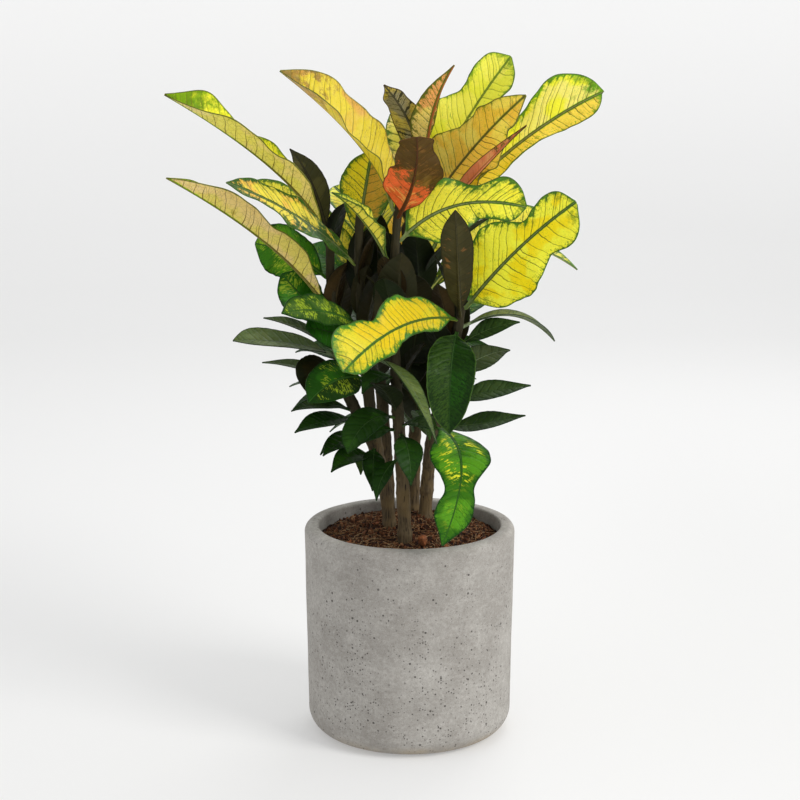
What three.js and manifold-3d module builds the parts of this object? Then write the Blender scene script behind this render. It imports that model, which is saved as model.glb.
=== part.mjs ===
// A croton in a round concrete pot: woody stems rooted in coir soil, broad waved leaves set
// round the stems in a spiral, gold and green outside and dark inside.
// Millimetres, +Z up. The origin is the centre of the pot's flat foot, and -Y is the front.

import * as THREE from 'three';
import { mergeVertices } from 'three/addons/utils/BufferGeometryUtils.js';
import Module from 'manifold-3d';

// Driving dimensions

const DEG = Math.PI / 180;
const UP = new THREE.Vector3(0, 0, 1);
const GAP = 0.3; // clearance between pieces that touch

const POT = {
  radius: 110, height: 222, footRadius: 107, footRound: 24, rimRound: 7, lipRound: 3,
  wall: 15.5, floor: 20, sides: 40, arcSteps: 2,
};
const SOIL = {
  edge: 205, rise: 15, centre: [0, 30], spread: 46, rings: 4, sides: 30, holeSides: 12,
  lump: { height: 1.6, pitchX: 20, pitchY: 23, shift: 4 },
};
const STEM = { soilRadius: 7.2, topRadius: 3.6, top: 600, sides: 8 };
const LEAF = { thickness: 1.0, petiole: 1.7, petioleShare: 0.1, rib: 1.4, tipHalf: 0.8 };

// Stem lines

// Each line is a list of points [x, y, z] from the soil up; radii shrink evenly towards the top.
const STEMS = {
  left: [[-21, 8, 150], [-21, 8, 222], [-25, 8, 258], [-33, 6, 295], [-50, 3, 330], [-70, 0, 372],
    [-78, -4, 430], [-81, -8, 490], [-80, -12, 532]],
  inner_left: [[-33, 6, 295], [-40, -2, 340], [-46, -8, 395], [-50, -12, 450], [-52, -16, 505],
    [-50, -18, 552]],
  front: [[-5, -32, 150], [-5, -32, 225], [-7, -33, 262], [-9, -34, 305], [-13, -35, 360], [-16, -36, 430],
    [-16, -36, 500], [-12, -34, 552], [-10, -33, 568]],
  centre: [[4, 66, 150], [4, 66, 225], [6, 64, 300], [9, 60, 390], [12, 54, 480], [17, 46, 560],
    [18, 44, 591]],
  right: [[17, 34, 150], [17, 34, 225], [19, 31, 262], [23, 24, 305], [32, 10, 350], [42, -8, 395],
    [49, -20, 432], [52, -26, 458]],
  back: [[-22, 52, 150], [-22, 52, 225], [-26, 58, 300], [-32, 68, 380], [-36, 76, 460], [-36, 80, 530]],
};
const TRUNKS = {
  trunk_left: ['left', 'inner_left'],
  stem_front: ['front'],
  stem_centre: ['centre'],
  stem_right: ['right'],
  stem_back: ['back'],
};

// Leaf outlines

// Half width along the leaf as [share of length, share of the leaf's half width].
const FORMS = {
  paddle: [[0, 0.05], [0.05, 0.07], [0.14, 0.42], [0.25, 0.76], [0.36, 0.96], [0.45, 1], [0.55, 0.82],
    [0.66, 0.56], [0.78, 0.56], [0.88, 0.58], [0.95, 0.44], [1, 0.04]],
  ovate: [[0, 0.05], [0.06, 0.1], [0.16, 0.62], [0.3, 0.98], [0.42, 1], [0.56, 0.84], [0.7, 0.62],
    [0.84, 0.5], [0.93, 0.26], [1, 0.03]],
  spoon: [[0, 0.05], [0.05, 0.08], [0.16, 0.36], [0.28, 0.72], [0.4, 1], [0.5, 0.98], [0.6, 0.66],
    [0.69, 0.48], [0.78, 0.6], [0.87, 0.6], [0.95, 0.26], [1, 0.03]],
  fiddle: [[0, 0.05], [0.05, 0.08], [0.12, 0.5], [0.23, 0.95], [0.34, 1], [0.46, 0.72], [0.56, 0.5],
    [0.66, 0.5], [0.78, 0.66], [0.88, 0.56], [0.96, 0.22], [1, 0.03]],
  oblong: [[0, 0.05], [0.06, 0.08], [0.18, 0.6], [0.34, 0.94], [0.5, 1], [0.66, 0.93], [0.8, 0.76],
    [0.9, 0.5], [0.97, 0.17], [1, 0.03]],
  lance: [[0, 0.06], [0.1, 0.1], [0.22, 0.52], [0.38, 0.92], [0.5, 1], [0.65, 0.86], [0.8, 0.52],
    [0.92, 0.2], [1, 0.03]],
  obovate: [[0, 0.05], [0.06, 0.08], [0.18, 0.44], [0.34, 0.74], [0.5, 0.94], [0.63, 1], [0.76, 0.93],
    [0.88, 0.68], [0.96, 0.3], [1, 0.04]],
  spatula: [[0, 0.05], [0.05, 0.07], [0.14, 0.44], [0.26, 0.84], [0.37, 0.9], [0.5, 0.78], [0.6, 0.8],
    [0.72, 0.94], [0.84, 1], [0.92, 0.84], [0.97, 0.5], [1, 0.04]],
  strap: [[0, 0.06], [0.07, 0.1], [0.2, 0.56], [0.36, 0.84], [0.5, 0.92], [0.65, 1], [0.78, 0.96],
    [0.88, 0.72], [0.95, 0.36], [1, 0.03]],
};

// Leaves

// stem and at: the line the leaf grows from and the height there. tip: where its point lies.
// arch, crest, sway: how far the rib rises off the straight line, where, and how far it bows sideways.
// roll, twist: turn of the blade about its rib, and how much more of it by the tip, in degrees.
// curl: how much further the blade's outer half turns by the tip, in degrees.
// fold: how far the halves stand up from flat. cup: how far the margins curl down. wave: ruffle height.
// lobes: bulges and notches of the margin, each [half, share of the length, reach, part of the half width].
// heading: compass of the leaf's plane in degrees, 0 to the right and 270 to the front, if not the tip's.
const OUTER = [
  // The gold crown, from the left round to the right.
  { name: 'leaf_far_left_upper', stem: 'left', at: 529, tip: [-238, -60, 668], width: 52, form: 'strap',
    arch: 14, crest: 0.3, roll: -8, twist: 14, curl: 34, fold: 48, wave: 3, tint: 'straw',
    lobes: [[1, 0.88, 0.07, 0.22], [1, 0.7, 0.09, -0.2], [1, 0.52, 0.06, 0.12],
      [-1, 0.9, 0.1, -0.12], [-1, 0.5, 0.3, -0.12]] },
  { name: 'leaf_far_left_lower', stem: 'left', at: 450, tip: [-232, -110, 592], width: 48, form: 'strap',
    arch: 13, crest: 0.35, roll: -8, twist: 6, fold: 48, wave: 3, tint: 'straw',
    lobes: [[1, 0.52, 0.07, 0.16]] },
  { name: 'leaf_mid_left', stem: 'inner_left', at: 498, tip: [-175, -112, 588], width: 52, form: 'oblong',
    arch: 9, crest: 0.45, roll: 39, fold: 6, wave: 3, tint: 'lime',
    lobes: [[1, 0.72, 0.1, 0.12], [-1, 0.8, 0.1, -0.2]] },
  { name: 'leaf_upper_left', stem: 'front', at: 556, tip: [-127, -44, 690], width: 66, form: 'strap',
    arch: 14, crest: 0.3, roll: 26, fold: 38, wave: 4, tint: 'gold',
    lobes: [[-1, 0.45, 0.4, -0.22], [-1, 0.3, 0.08, 0.1]] },
  { name: 'leaf_left_shadow', stem: 'left', at: 522, tip: [-124, 60, 606], width: 30, form: 'lance',
    arch: 12, roll: 30, fold: 14, tint: 'dark' },
  { name: 'leaf_sliver_front', stem: 'front', at: 500, tip: [-75, -98, 577], width: 34, form: 'lance',
    arch: 8, roll: 30, fold: 40, wave: 2, tint: 'lime' },
  { name: 'leaf_upright_left', stem: 'inner_left', at: 522, tip: [-38, -6, 610], width: 56, form: 'obovate',
    arch: -4, heading: 100, roll: 0, fold: 14, wave: 3, tint: 'lime' },
  { name: 'leaf_grey_small', stem: 'centre', at: 586, tip: [-26, 8, 674], width: 34, form: 'lance',
    arch: 9, roll: -40, fold: 14, tint: 'rust',
    lobes: [[1, 0.85, 0.08, 0.3], [-1, 0.85, 0.08, 0.2]] },
  { name: 'leaf_pink_back', stem: 'centre', at: 588, tip: [44, -2, 694], width: 36, form: 'lance',
    arch: 0, heading: 285, sway: 10, roll: 0, fold: 22, tint: 'straw',
    lobes: [[-1, 0.5, 0.6, -0.7], [1, 0.4, 0.2, 0.16]] },
  { name: 'leaf_pale_back', stem: 'centre', at: 566, tip: [-20, 60, 642], width: 36, form: 'oblong',
    arch: 0, roll: 50, fold: 10, tint: 'lime' },
  { name: 'leaf_top_gold', stem: 'centre', at: 572, tip: [101, 10, 702], width: 80, form: 'paddle',
    arch: 4, roll: -82, fold: 24, wave: 4, tint: 'gold',
    lobes: [[-1, 0.3, 0.08, 0.08], [1, 0.86, 0.08, 0.1]] },
  { name: 'leaf_amber', stem: 'centre', at: 547, tip: [112, -56, 667], width: 70, form: 'ovate',
    arch: 6, roll: -92, fold: 6, wave: 5, tint: 'amber',
    lobes: [[-1, 0.27, 0.09, 0.26], [-1, 0.5, 0.07, -0.12], [-1, 0.68, 0.06, 0.1],
      [1, 0.22, 0.08, -0.15], [1, 0.42, 0.06, -0.12], [1, 0.6, 0.06, 0.22], [1, 0.78, 0.05, -0.12]] },
  { name: 'leaf_pink_small', stem: 'centre', at: 520, tip: [111, -84, 640], width: 22, form: 'lance',
    arch: 4, roll: -66, fold: 26, tint: 'rust' },
  { name: 'leaf_right_top', stem: 'centre', at: 524, tip: [193, -6, 668], width: 60, form: 'spatula',
    arch: 12, crest: 0.6, roll: -84, fold: 5, wave: 5, tint: 'gold',
    lobes: [[1, 0.6, 0.45, -0.42], [1, 0.3, 0.12, -0.16], [1, 0.86, 0.1, -0.1],
      [-1, 0.34, 0.06, -0.12], [-1, 0.8, 0.1, 0.22]] },
  { name: 'leaf_rust', stem: 'front', at: 548, tip: [6, -98, 630], width: 52, form: 'oblong',
    arch: -2, heading: 285, sway: -6, roll: 10, fold: 14, wave: 3, tint: 'rust',
    lobes: [[1, 0.32, 0.1, 0.14], [1, 0.64, 0.08, -0.16], [-1, 0.55, 0.09, 0.14],
      [-1, 0.78, 0.06, -0.1], [1, 0.94, 0.05, 0.3], [-1, 0.94, 0.05, 0.3]] },
  { name: 'leaf_right_mid', stem: 'front', at: 524, tip: [115, -44, 557], width: 62, form: 'paddle',
    arch: 19, crest: 0.45, roll: -76, fold: 8, wave: 4, tint: 'gold',
    lobes: [[-1, 0.22, 0.1, 0.22], [-1, 0.44, 0.05, -0.06], [-1, 0.85, 0.1, 0.26], [1, 0.24, 0.1, 0.16]] },
  { name: 'leaf_dark_upright', stem: 'right', at: 447, tip: [43, -104, 561], width: 32, form: 'strap',
    arch: -10, heading: 270, roll: 0, fold: 8, tint: 'dark' },
  { name: 'leaf_hero', stem: 'right', at: 455, tip: [159, -96, 568], width: 80, form: 'paddle',
    arch: 6, roll: -92, fold: 8, wave: 4, tint: 'gold',
    lobes: [[1, 0.18, 0.08, 0.14], [1, 0.5, 0.14, 0.14], [1, 0.82, 0.14, 0.24],
      [-1, 0.22, 0.1, 0.1], [-1, 0.68, 0.1, -0.12]] },
  { name: 'leaf_front_gold', stem: 'right', at: 442, tip: [-63, -170, 416], width: 60, form: 'spatula',
    arch: 18, roll: 46, fold: 10, wave: 5, tint: 'gold',
    lobes: [[1, 0.46, 0.12, 0.22], [1, 0.63, 0.05, -0.2], [1, 0.9, 0.09, 0.14],
      [-1, 0.45, 0.25, -0.34], [-1, 0.85, 0.12, -0.4]] },
  // Green leaves down the left side.
  { name: 'leaf_left_green_high', stem: 'left', at: 482, tip: [-159, 26, 512], width: 54, form: 'obovate',
    arch: 6, roll: 84, fold: 6, wave: 3, tint: 'spotted' },
  { name: 'leaf_left_green_low', stem: 'left', at: 424, tip: [-130, -13, 486], width: 46, form: 'obovate',
    arch: 2, roll: 36, fold: 6, wave: 2, crest: 0.5, twist: 54, tint: 'spotted' },
  { name: 'leaf_left_spotted', stem: 'inner_left', at: 434, tip: [-124, -110, 462], width: 38, form: 'oblong',
    arch: 8, roll: 46, fold: 8, wave: 2, tint: 'spotted' },
  { name: 'leaf_left_long_grey', stem: 'left', at: 402, tip: [-178, -38, 422], width: 36, form: 'strap',
    arch: 5, roll: 22, fold: 16, tint: 'sage' },
  { name: 'leaf_left_under', stem: 'inner_left', at: 412, tip: [-103, -72, 441], width: 42, form: 'obovate',
    arch: 4, roll: 60, fold: 8, tint: 'green' },
  { name: 'leaf_left_dark_hang', stem: 'left', at: 384, tip: [-102, -58, 372], width: 50, form: 'obovate',
    arch: 10, roll: 40, fold: 10, tint: 'dark' },
  { name: 'leaf_left_low', stem: 'inner_left', at: 378, tip: [-100, -92, 370], width: 46, form: 'oblong',
    arch: 10, roll: 42, fold: 10, tint: 'spotted' },
  { name: 'leaf_low_left_b', stem: 'left', at: 334, tip: [-116, -54, 331], width: 32, form: 'lance',
    arch: 4, roll: 16, fold: 14, tint: 'green' },
  { name: 'leaf_low_left_c', stem: 'left', at: 314, tip: [-88, -50, 306], width: 28, form: 'lance',
    arch: 5, roll: 16, fold: 16, tint: 'green' },
  { name: 'leaf_low_left_d', stem: 'left', at: 292, tip: [-80, -46, 288], width: 30, form: 'lance',
    arch: 8, roll: 20, fold: 18, tint: 'green' },
  { name: 'leaf_low_front_left', stem: 'front', at: 344, tip: [-62, -82, 316], width: 36, form: 'oblong',
    arch: 14, roll: 20, fold: 14, tint: 'green' },
  { name: 'leaf_low_front', stem: 'front', at: 326, tip: [1, -82, 283], width: 30, form: 'lance',
    arch: 14, roll: 0, fold: 14, tint: 'green' },
  { name: 'leaf_low_arch', stem: 'inner_left', at: 400, tip: [25, -154, 343], width: 28, form: 'lance',
    arch: 24, roll: 24, fold: 14, tint: 'sage' },
  // Green leaves down the right side.
  { name: 'leaf_big_green', stem: 'right', at: 428, tip: [39, -86, 337], width: 50, form: 'oblong',
    arch: 26, roll: 8, fold: 16, wave: 2, tint: 'green' },
  { name: 'leaf_right_green_up', stem: 'right', at: 414, tip: [111, -26, 439], width: 27, form: 'lance',
    arch: 4, roll: -36, fold: 14, tint: 'green' },
  { name: 'leaf_right_curve', stem: 'right', at: 434, tip: [149, 4, 414], width: 26, form: 'strap',
    arch: 19, roll: -4, fold: 16, tint: 'sage' },
  { name: 'leaf_right_behind', stem: 'centre', at: 456, tip: [176, 60, 480], width: 36, form: 'strap',
    arch: 40, roll: -10, fold: 16, tint: 'lime' },
  { name: 'leaf_right_grey', stem: 'right', at: 376, tip: [105, 34, 399], width: 31, form: 'lance',
    arch: 6, roll: -40, fold: 12, tint: 'sage' },
  { name: 'leaf_right_low_a', stem: 'right', at: 350, tip: [125, 2, 368], width: 32, form: 'lance',
    arch: 1, roll: -28, fold: 14, tint: 'green' },
  { name: 'leaf_right_low_b', stem: 'right', at: 320, tip: [118, -24, 342], width: 32, form: 'lance',
    arch: -2, roll: -28, fold: 14, tint: 'green' },
  { name: 'leaf_low_spoon', stem: 'right', at: 322, tip: [31, -138, 237], width: 60, form: 'spoon',
    arch: 28, sway: -22, roll: 0, fold: 8, cup: 0.1, tint: 'spotted' },
  // Leaves on the far side.
  { name: 'leaf_back_gold_a', stem: 'back', at: 524, tip: [16, 150, 612], width: 60, form: 'paddle',
    arch: 8, roll: 20, fold: 20, wave: 4, tint: 'gold' },
  { name: 'leaf_back_gold_b', stem: 'back', at: 496, tip: [-32, 240, 576], width: 60, form: 'spatula',
    arch: 18, roll: 20, fold: 16, wave: 4, tint: 'gold' },
  { name: 'leaf_back_gold_c', stem: 'centre', at: 505, tip: [104, 196, 622], width: 62, form: 'paddle',
    arch: 12, roll: -30, fold: 18, wave: 4, tint: 'gold' },
  { name: 'leaf_back_lime_a', stem: 'back', at: 468, tip: [-184, 128, 560], width: 48, form: 'strap',
    arch: 14, roll: 30, fold: 24, wave: 3, tint: 'lime' },
  { name: 'leaf_back_lime_b', stem: 'centre', at: 452, tip: [160, 142, 528], width: 50, form: 'strap',
    arch: 16, roll: -30, fold: 22, wave: 3, tint: 'lime' },
  { name: 'leaf_back_amber', stem: 'back', at: 470, tip: [32, 214, 552], width: 54, form: 'oblong',
    arch: 12, roll: -24, fold: 14, wave: 4, tint: 'amber' },
  { name: 'leaf_back_green_a', stem: 'back', at: 430, tip: [-118, 186, 486], width: 50, form: 'obovate',
    arch: 14, roll: 20, fold: 14, wave: 2, tint: 'spotted' },
  { name: 'leaf_back_green_b', stem: 'back', at: 400, tip: [12, 196, 446], width: 52, form: 'oblong',
    arch: 16, roll: -10, fold: 14, wave: 2, tint: 'green' },
  { name: 'leaf_back_green_c', stem: 'centre', at: 400, tip: [112, 150, 444], width: 46, form: 'lance',
    arch: 16, roll: -20, fold: 14, tint: 'spotted' },
  { name: 'leaf_back_low_a', stem: 'back', at: 362, tip: [-124, 124, 380], width: 44, form: 'lance',
    arch: 16, roll: 20, fold: 14, tint: 'green' },
  { name: 'leaf_back_low_b', stem: 'back', at: 336, tip: [-44, 164, 340], width: 40, form: 'lance',
    arch: 18, roll: 0, fold: 14, tint: 'green' },
  { name: 'leaf_back_low_c', stem: 'centre', at: 330, tip: [74, 146, 346], width: 38, form: 'lance',
    arch: 14, roll: -14, fold: 14, tint: 'green' },
];

// Leaves grown straight onto the wood, in the same words as the leaves above.
const GROWN = [
  { stem: 'back', at: 498, tip: [-82, 150, 558], width: 44, form: 'strap', arch: 8, roll: 20, fold: 20 },
  { stem: 'back', at: 452, tip: [-104, 158, 522], width: 46, form: 'oblong', arch: 12, roll: 16, fold: 16 },
  { stem: 'centre', at: 478, tip: [76, 176, 552], width: 42, form: 'oblong', arch: 10, roll: -20, fold: 16 },
  { stem: 'centre', at: 372, tip: [52, 172, 392], width: 44, form: 'oblong', arch: 16, roll: -10, fold: 14 },
  { stem: 'back', at: 386, tip: [-82, 172, 420], width: 44, form: 'oblong', arch: 16, roll: 10, fold: 14 },
  { stem: 'left', at: 350, tip: [-128, 74, 352], width: 36, arch: 12, roll: 10, fold: 14 },
  { stem: 'left', at: 406, tip: [-147, -36, 445], width: 26, arch: 5, roll: 20, fold: 16 },
  { stem: 'left', at: 374, tip: [-153, 18, 389], width: 24, arch: 4, roll: 10, fold: 16 },
  { stem: 'left', at: 356, tip: [-121, 4, 342], width: 24, arch: 8, roll: 8, fold: 16 },
  { stem: 'left', at: 296, tip: [-52, 46, 262], width: 26, arch: 8, roll: 10, fold: 12 },
  { stem: 'centre', at: 392, tip: [88, 50, 398], width: 26, arch: 8, roll: -20, fold: 14 },
  { stem: 'front', at: 384, tip: [-48, -60, 372], width: 28, arch: 8, roll: 10, fold: 14 },
  { stem: 'centre', at: 322, tip: [44, 30, 300], width: 26, arch: 8, roll: -10, fold: 14 },
  { stem: 'back', at: 318, tip: [-86, 84, 300], width: 28, arch: 8, roll: 10, fold: 14 },
];

// Shaded leaves deep in the bush: each is [stem, height, compass, lift, length, width].
const INNER = [
  ['front', 412, 288, 78, 104, 46], ['front', 470, 118, 76, 62, 28], ['front', 452, 236, 72, 60, 34],
  ['front', 424, 250, 66, 72, 38], ['front', 372, 20, 56, 54, 30], ['front', 440, 190, 60, 56, 24],
  ['front', 350, 244, 36, 62, 30],
  ['left', 438, 325, 74, 62, 34], ['left', 500, 40, 70, 60, 28],
  ['left', 418, 60, 62, 72, 32],
  ['inner_left', 416, 330, 74, 80, 34], ['inner_left', 376, 10, 62, 72, 36],
  ['inner_left', 468, 345, 74, 64, 24], ['inner_left', 452, 80, 70, 80, 34],
  ['inner_left', 436, 300, 78, 62, 26], ['inner_left', 480, 60, 72, 60, 30],
  ['right', 425, 188, 74, 84, 28], ['right', 400, 238, 70, 84, 34], ['right', 384, 226, 60, 80, 38],
  ['right', 362, 288, 48, 76, 38], ['right', 405, 76, 64, 64, 32],
  ['centre', 470, 336, 42, 104, 42], ['centre', 490, 205, 64, 72, 34], ['centre', 444, 262, 66, 88, 40],
  ['centre', 404, 262, 60, 90, 42], ['centre', 530, 120, 70, 70, 30], ['centre', 350, 272, 36, 70, 36],
  ['centre', 462, 240, 70, 78, 34], ['centre', 424, 258, -48, 84, 44], ['centre', 384, 268, -52, 74, 38],
  ['back', 474, 262, 72, 74, 34], ['back', 440, 250, 66, 76, 34], ['back', 410, 290, 66, 84, 38],
  ['back', 366, 230, 46, 66, 30], ['back', 362, 262, 40, 70, 34],
];

const INNER_LEAF = { form: 'oblong', arch: 5, fold: 12 };
const SUNK = 2.5; // how deep the root of a grown leaf goes into its stem

// Colours

const COLOURS = {
  concrete: { color: 0xa9a6a0, roughness: 0.93 },
  soil: { color: 0x5a3320, roughness: 1.0 },
  bark: { color: 0x6c5f4c, roughness: 0.9 },
  gold: { color: 0xe8d22c, roughness: 0.45 },
  straw: { color: 0xcdb964, roughness: 0.5 },
  amber: { color: 0xc99a2e, roughness: 0.5 },
  lime: { color: 0xb9c03a, roughness: 0.45 },
  rust: { color: 0x8a4a2c, roughness: 0.5 },
  dark: { color: 0x2f2a1c, roughness: 0.5 },
  spotted: { color: 0x3c7d22, roughness: 0.4 },
  green: { color: 0x2c5a26, roughness: 0.4 },
  sage: { color: 0x5d7150, roughness: 0.5 },
};

function meshOf(name, geometry, tint) {
  const { color, roughness } = COLOURS[tint];
  const mesh = new THREE.Mesh(geometry, new THREE.MeshStandardMaterial({ color, roughness, metalness: 0 }));
  mesh.name = name;
  return mesh;
}

// Joining and cutting

const wasm = await Module();
wasm.setup();

function solidFrom(geometry) {
  const bare = geometry.clone();
  bare.deleteAttribute('normal');
  bare.deleteAttribute('uv');
  const merged = mergeVertices(bare, 1e-4);
  return new wasm.Manifold(new wasm.Mesh({
    numProp: 3,
    vertProperties: merged.attributes.position.array,
    triVerts: new Uint32Array(merged.index.array),
  }));
}

function geometryFrom(solid) {
  const { vertProperties, triVerts } = solid.getMesh();
  return new THREE.BufferGeometry()
    .setAttribute('position', new THREE.BufferAttribute(vertProperties, 3))
    .setIndex(new THREE.BufferAttribute(triVerts, 1));
}

function geometryFromPoints(points, faces) {
  return new THREE.BufferGeometry()
    .setAttribute('position', new THREE.Float32BufferAttribute(points.flatMap((p) => p.toArray()), 3))
    .setIndex(faces.flat());
}

// Skins a row of closed rings, each with the same number of points, and closes both ends with a fan.
function skinRings(rings) {
  const sides = rings[0].length;
  const points = rings.flat();
  const faces = [];
  for (let r = 0; r + 1 < rings.length; r += 1) {
    for (let i = 0; i < sides; i += 1) {
      const j = (i + 1) % sides;
      const [a, b, c, d] = [r * sides + i, r * sides + j, (r + 1) * sides + j, (r + 1) * sides + i];
      faces.push([a, b, c], [a, c, d]);
    }
  }
  const last = (rings.length - 1) * sides;
  for (let i = 1; i + 1 < sides; i += 1) {
    faces.push([0, i + 1, i], [last, last + i, last + i + 1]);
  }
  return geometryFromPoints(points, faces);
}

// Pot: one cast concrete wall, round at foot and rim

function makePot() {
  const { radius, height, footRadius, footRound, rimRound, lipRound, wall, floor, sides, arcSteps } = POT;
  const inner = radius - wall;
  const outline = new THREE.Path();
  outline.moveTo(0, 0);
  outline.lineTo(footRadius - footRound, 0);
  outline.absarc(footRadius - footRound, footRound, footRound, -Math.PI / 2, 0, false);
  outline.lineTo(radius, height - rimRound);
  outline.absarc(radius - rimRound, height - rimRound, rimRound, 0, Math.PI / 2, false);
  outline.absarc(inner + lipRound, height - lipRound, lipRound, Math.PI / 2, Math.PI, false);
  outline.lineTo(inner, floor);
  outline.lineTo(0, floor);
  const geometry = new THREE.LatheGeometry(outline.getPoints(arcSteps), sides).rotateX(Math.PI / 2);
  return meshOf('pot', geometry, 'concrete');
}

// Soil: a filled root ball with a low lumpy mound, and a plain hole for each trunk

function soilHeight(x, y) {
  const { edge, rise, centre, spread, lump } = SOIL;
  const away = ((x - centre[0]) ** 2 + (y - centre[1]) ** 2) / (2 * spread ** 2);
  const waveX = Math.sin((2 * Math.PI * (x + lump.shift)) / lump.pitchX);
  const waveY = Math.cos((2 * Math.PI * y) / lump.pitchY);
  return edge + rise * Math.exp(-away) + lump.height * waveX * waveY;
}

function makeSoil() {
  const outer = POT.radius - POT.wall - GAP;
  const bottom = POT.floor + GAP;
  const points = [new THREE.Vector3(0, 0, soilHeight(0, 0))];
  for (let r = 1; r <= SOIL.rings; r += 1) {
    for (let i = 0; i < SOIL.sides; i += 1) {
      const turn = (2 * Math.PI * i) / SOIL.sides;
      const reach = (outer * r) / SOIL.rings;
      const [x, y] = [reach * Math.cos(turn), reach * Math.sin(turn)];
      points.push(new THREE.Vector3(x, y, soilHeight(x, y)));
    }
  }
  const foot = points.length;
  for (let i = 0; i < SOIL.sides; i += 1) {
    const rim = points[foot - SOIL.sides + i];
    points.push(new THREE.Vector3(rim.x, rim.y, bottom));
  }
  const faces = [];
  const at = (ring, i) => 1 + (ring - 1) * SOIL.sides + (i % SOIL.sides);
  for (let i = 0; i < SOIL.sides; i += 1) {
    faces.push([0, at(1, i), at(1, i + 1)]);
    for (let r = 1; r <= SOIL.rings; r += 1) {
      faces.push([at(r, i), at(r + 1, i), at(r + 1, i + 1)], [at(r, i), at(r + 1, i + 1), at(r, i + 1)]);
    }
    if (i > 1) faces.push([foot, foot + i, foot + i - 1]);
  }
  let soil = solidFrom(geometryFromPoints(points, faces));
  for (const lines of Object.values(TRUNKS)) {
    const [x, y, z] = STEMS[lines[0]][0];
    const depth = POT.height + SOIL.rise - z;
    const radius = STEM.soilRadius + 2 * GAP;
    const hole = new THREE.CylinderGeometry(radius, radius, depth, SOIL.holeSides)
      .rotateX(Math.PI / 2)
      .translate(x, y, z + depth / 2 - GAP);
    soil = soil.subtract(solidFrom(hole));
  }
  return meshOf('soil', geometryFrom(soil), 'soil');
}

// Stems: eight-sided tapering wood, with the shaded leaves of the middle grown onto them

function stemRadius(z) {
  const share = Math.min(1, Math.max(0, (z - POT.height) / (STEM.top - POT.height)));
  return STEM.soilRadius + (STEM.topRadius - STEM.soilRadius) * share;
}

function pointOnStem(line, z) {
  const points = STEMS[line];
  const k = Math.max(1, points.findIndex((p) => p[2] >= z));
  const [a, b] = [points[k - 1], points[k]];
  return new THREE.Vector3(...a).lerp(new THREE.Vector3(...b), (z - a[2]) / (b[2] - a[2]));
}

function stemSolid(line) {
  const rings = STEMS[line].map(([x, y, z]) => {
    const ring = [];
    for (let i = 0; i < STEM.sides; i += 1) {
      const turn = (2 * Math.PI * i) / STEM.sides;
      ring.push(new THREE.Vector3(x + stemRadius(z) * Math.cos(turn), y + stemRadius(z) * Math.sin(turn), z));
    }
    return ring;
  });
  return solidFrom(skinRings(rings));
}

// Blades: a rib line from the stem to the tip, with the same skin on both faces

const DEFAULTS = {
  form: 'lance', arch: 0, crest: 0.5, sway: 0, roll: 0, twist: 0, curl: 0, fold: 0, cup: 0, wave: 0,
  lobes: [], grown: false,
};
const LARGE = { width: 51, halves: 2, stations: [0, 0.07, 0.17, 0.29, 0.41, 0.53, 0.66, 0.79, 0.91, 1] };
const MIDDLE = { halves: 2, stations: [0, 0.09, 0.22, 0.38, 0.56, 0.74, 0.9, 1] };
const FEW = { halves: 1, stations: [0, 0.12, 0.3, 0.54, 0.8, 1] };
const RUFFLES = 2.5; // waves along each margin
const RUFFLE_OFFSET = 2; // one margin's waves run ahead of the other's, in radians
const LAG = 0.03; // how far one half's outline runs ahead of the other's, as a share of the length
const CURL_START = 0.45; // the share of the length where a blade's outer half starts to turn

function halfWidth(form, s) {
  const outline = FORMS[form];
  const k = Math.max(1, outline.findIndex((p) => p[0] >= s));
  const [a, b] = [outline[k - 1], outline[k]];
  const [before, after] = [outline[Math.max(0, k - 2)], outline[Math.min(outline.length - 1, k + 1)]];
  const span = b[0] - a[0];
  const u = (s - a[0]) / span;
  const slopeA = ((b[1] - before[1]) / (b[0] - before[0])) * span;
  const slopeB = ((after[1] - a[1]) / (after[0] - a[0])) * span;
  return (2 * u ** 3 - 3 * u ** 2 + 1) * a[1] + (u ** 3 - 2 * u ** 2 + u) * slopeA
    + (3 * u ** 2 - 2 * u ** 3) * b[1] + (u ** 3 - u ** 2) * slopeB;
}

// The level direction away from the stem in the leaf's plane.
function headingOf(leaf) {
  if (leaf.heading !== undefined) {
    return new THREE.Vector3(Math.cos(leaf.heading * DEG), Math.sin(leaf.heading * DEG), 0);
  }
  const onStem = pointOnStem(leaf.stem, leaf.at);
  return new THREE.Vector3(leaf.tip[0] - onStem.x, leaf.tip[1] - onStem.y, 0).normalize();
}

// The curve that the rib follows, when its root stands the distance clear off the stem.
function ribCurve(leaf, heading, side, clear) {
  const tip = new THREE.Vector3(...leaf.tip);
  const root = pointOnStem(leaf.stem, leaf.at).addScaledVector(heading, stemRadius(leaf.at) + clear);
  const lift = side.clone().cross(tip.clone().sub(root)).normalize();
  const bend = root.clone().lerp(tip, leaf.crest)
    .addScaledVector(lift, 2 * leaf.arch)
    .addScaledVector(side, 2 * leaf.sway);
  return new THREE.QuadraticBezierCurve3(root, bend, tip);
}

// A grown leaf is sunk in its stem. Any other stands off by the gap, at its end's nearest corner.
function ribOf(leaf) {
  const heading = headingOf(leaf);
  const side = heading.clone().cross(UP);
  if (leaf.grown) return { side, rib: ribCurve(leaf, heading, side, -SUNK) };
  const { out, normal } = bladeAxes(leaf, side, ribCurve(leaf, heading, side, 0), 0);
  const above = LEAF.thickness / 2 + LEAF.petiole * Math.sin(leaf.fold * DEG);
  const below = LEAF.thickness / 2 + LEAF.rib;
  const lean = normal.dot(heading);
  const reach = LEAF.petiole * Math.abs(out.dot(heading)) + Math.max(-lean * above, lean * below);
  return { side, rib: ribCurve(leaf, heading, side, GAP + reach) };
}

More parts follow.
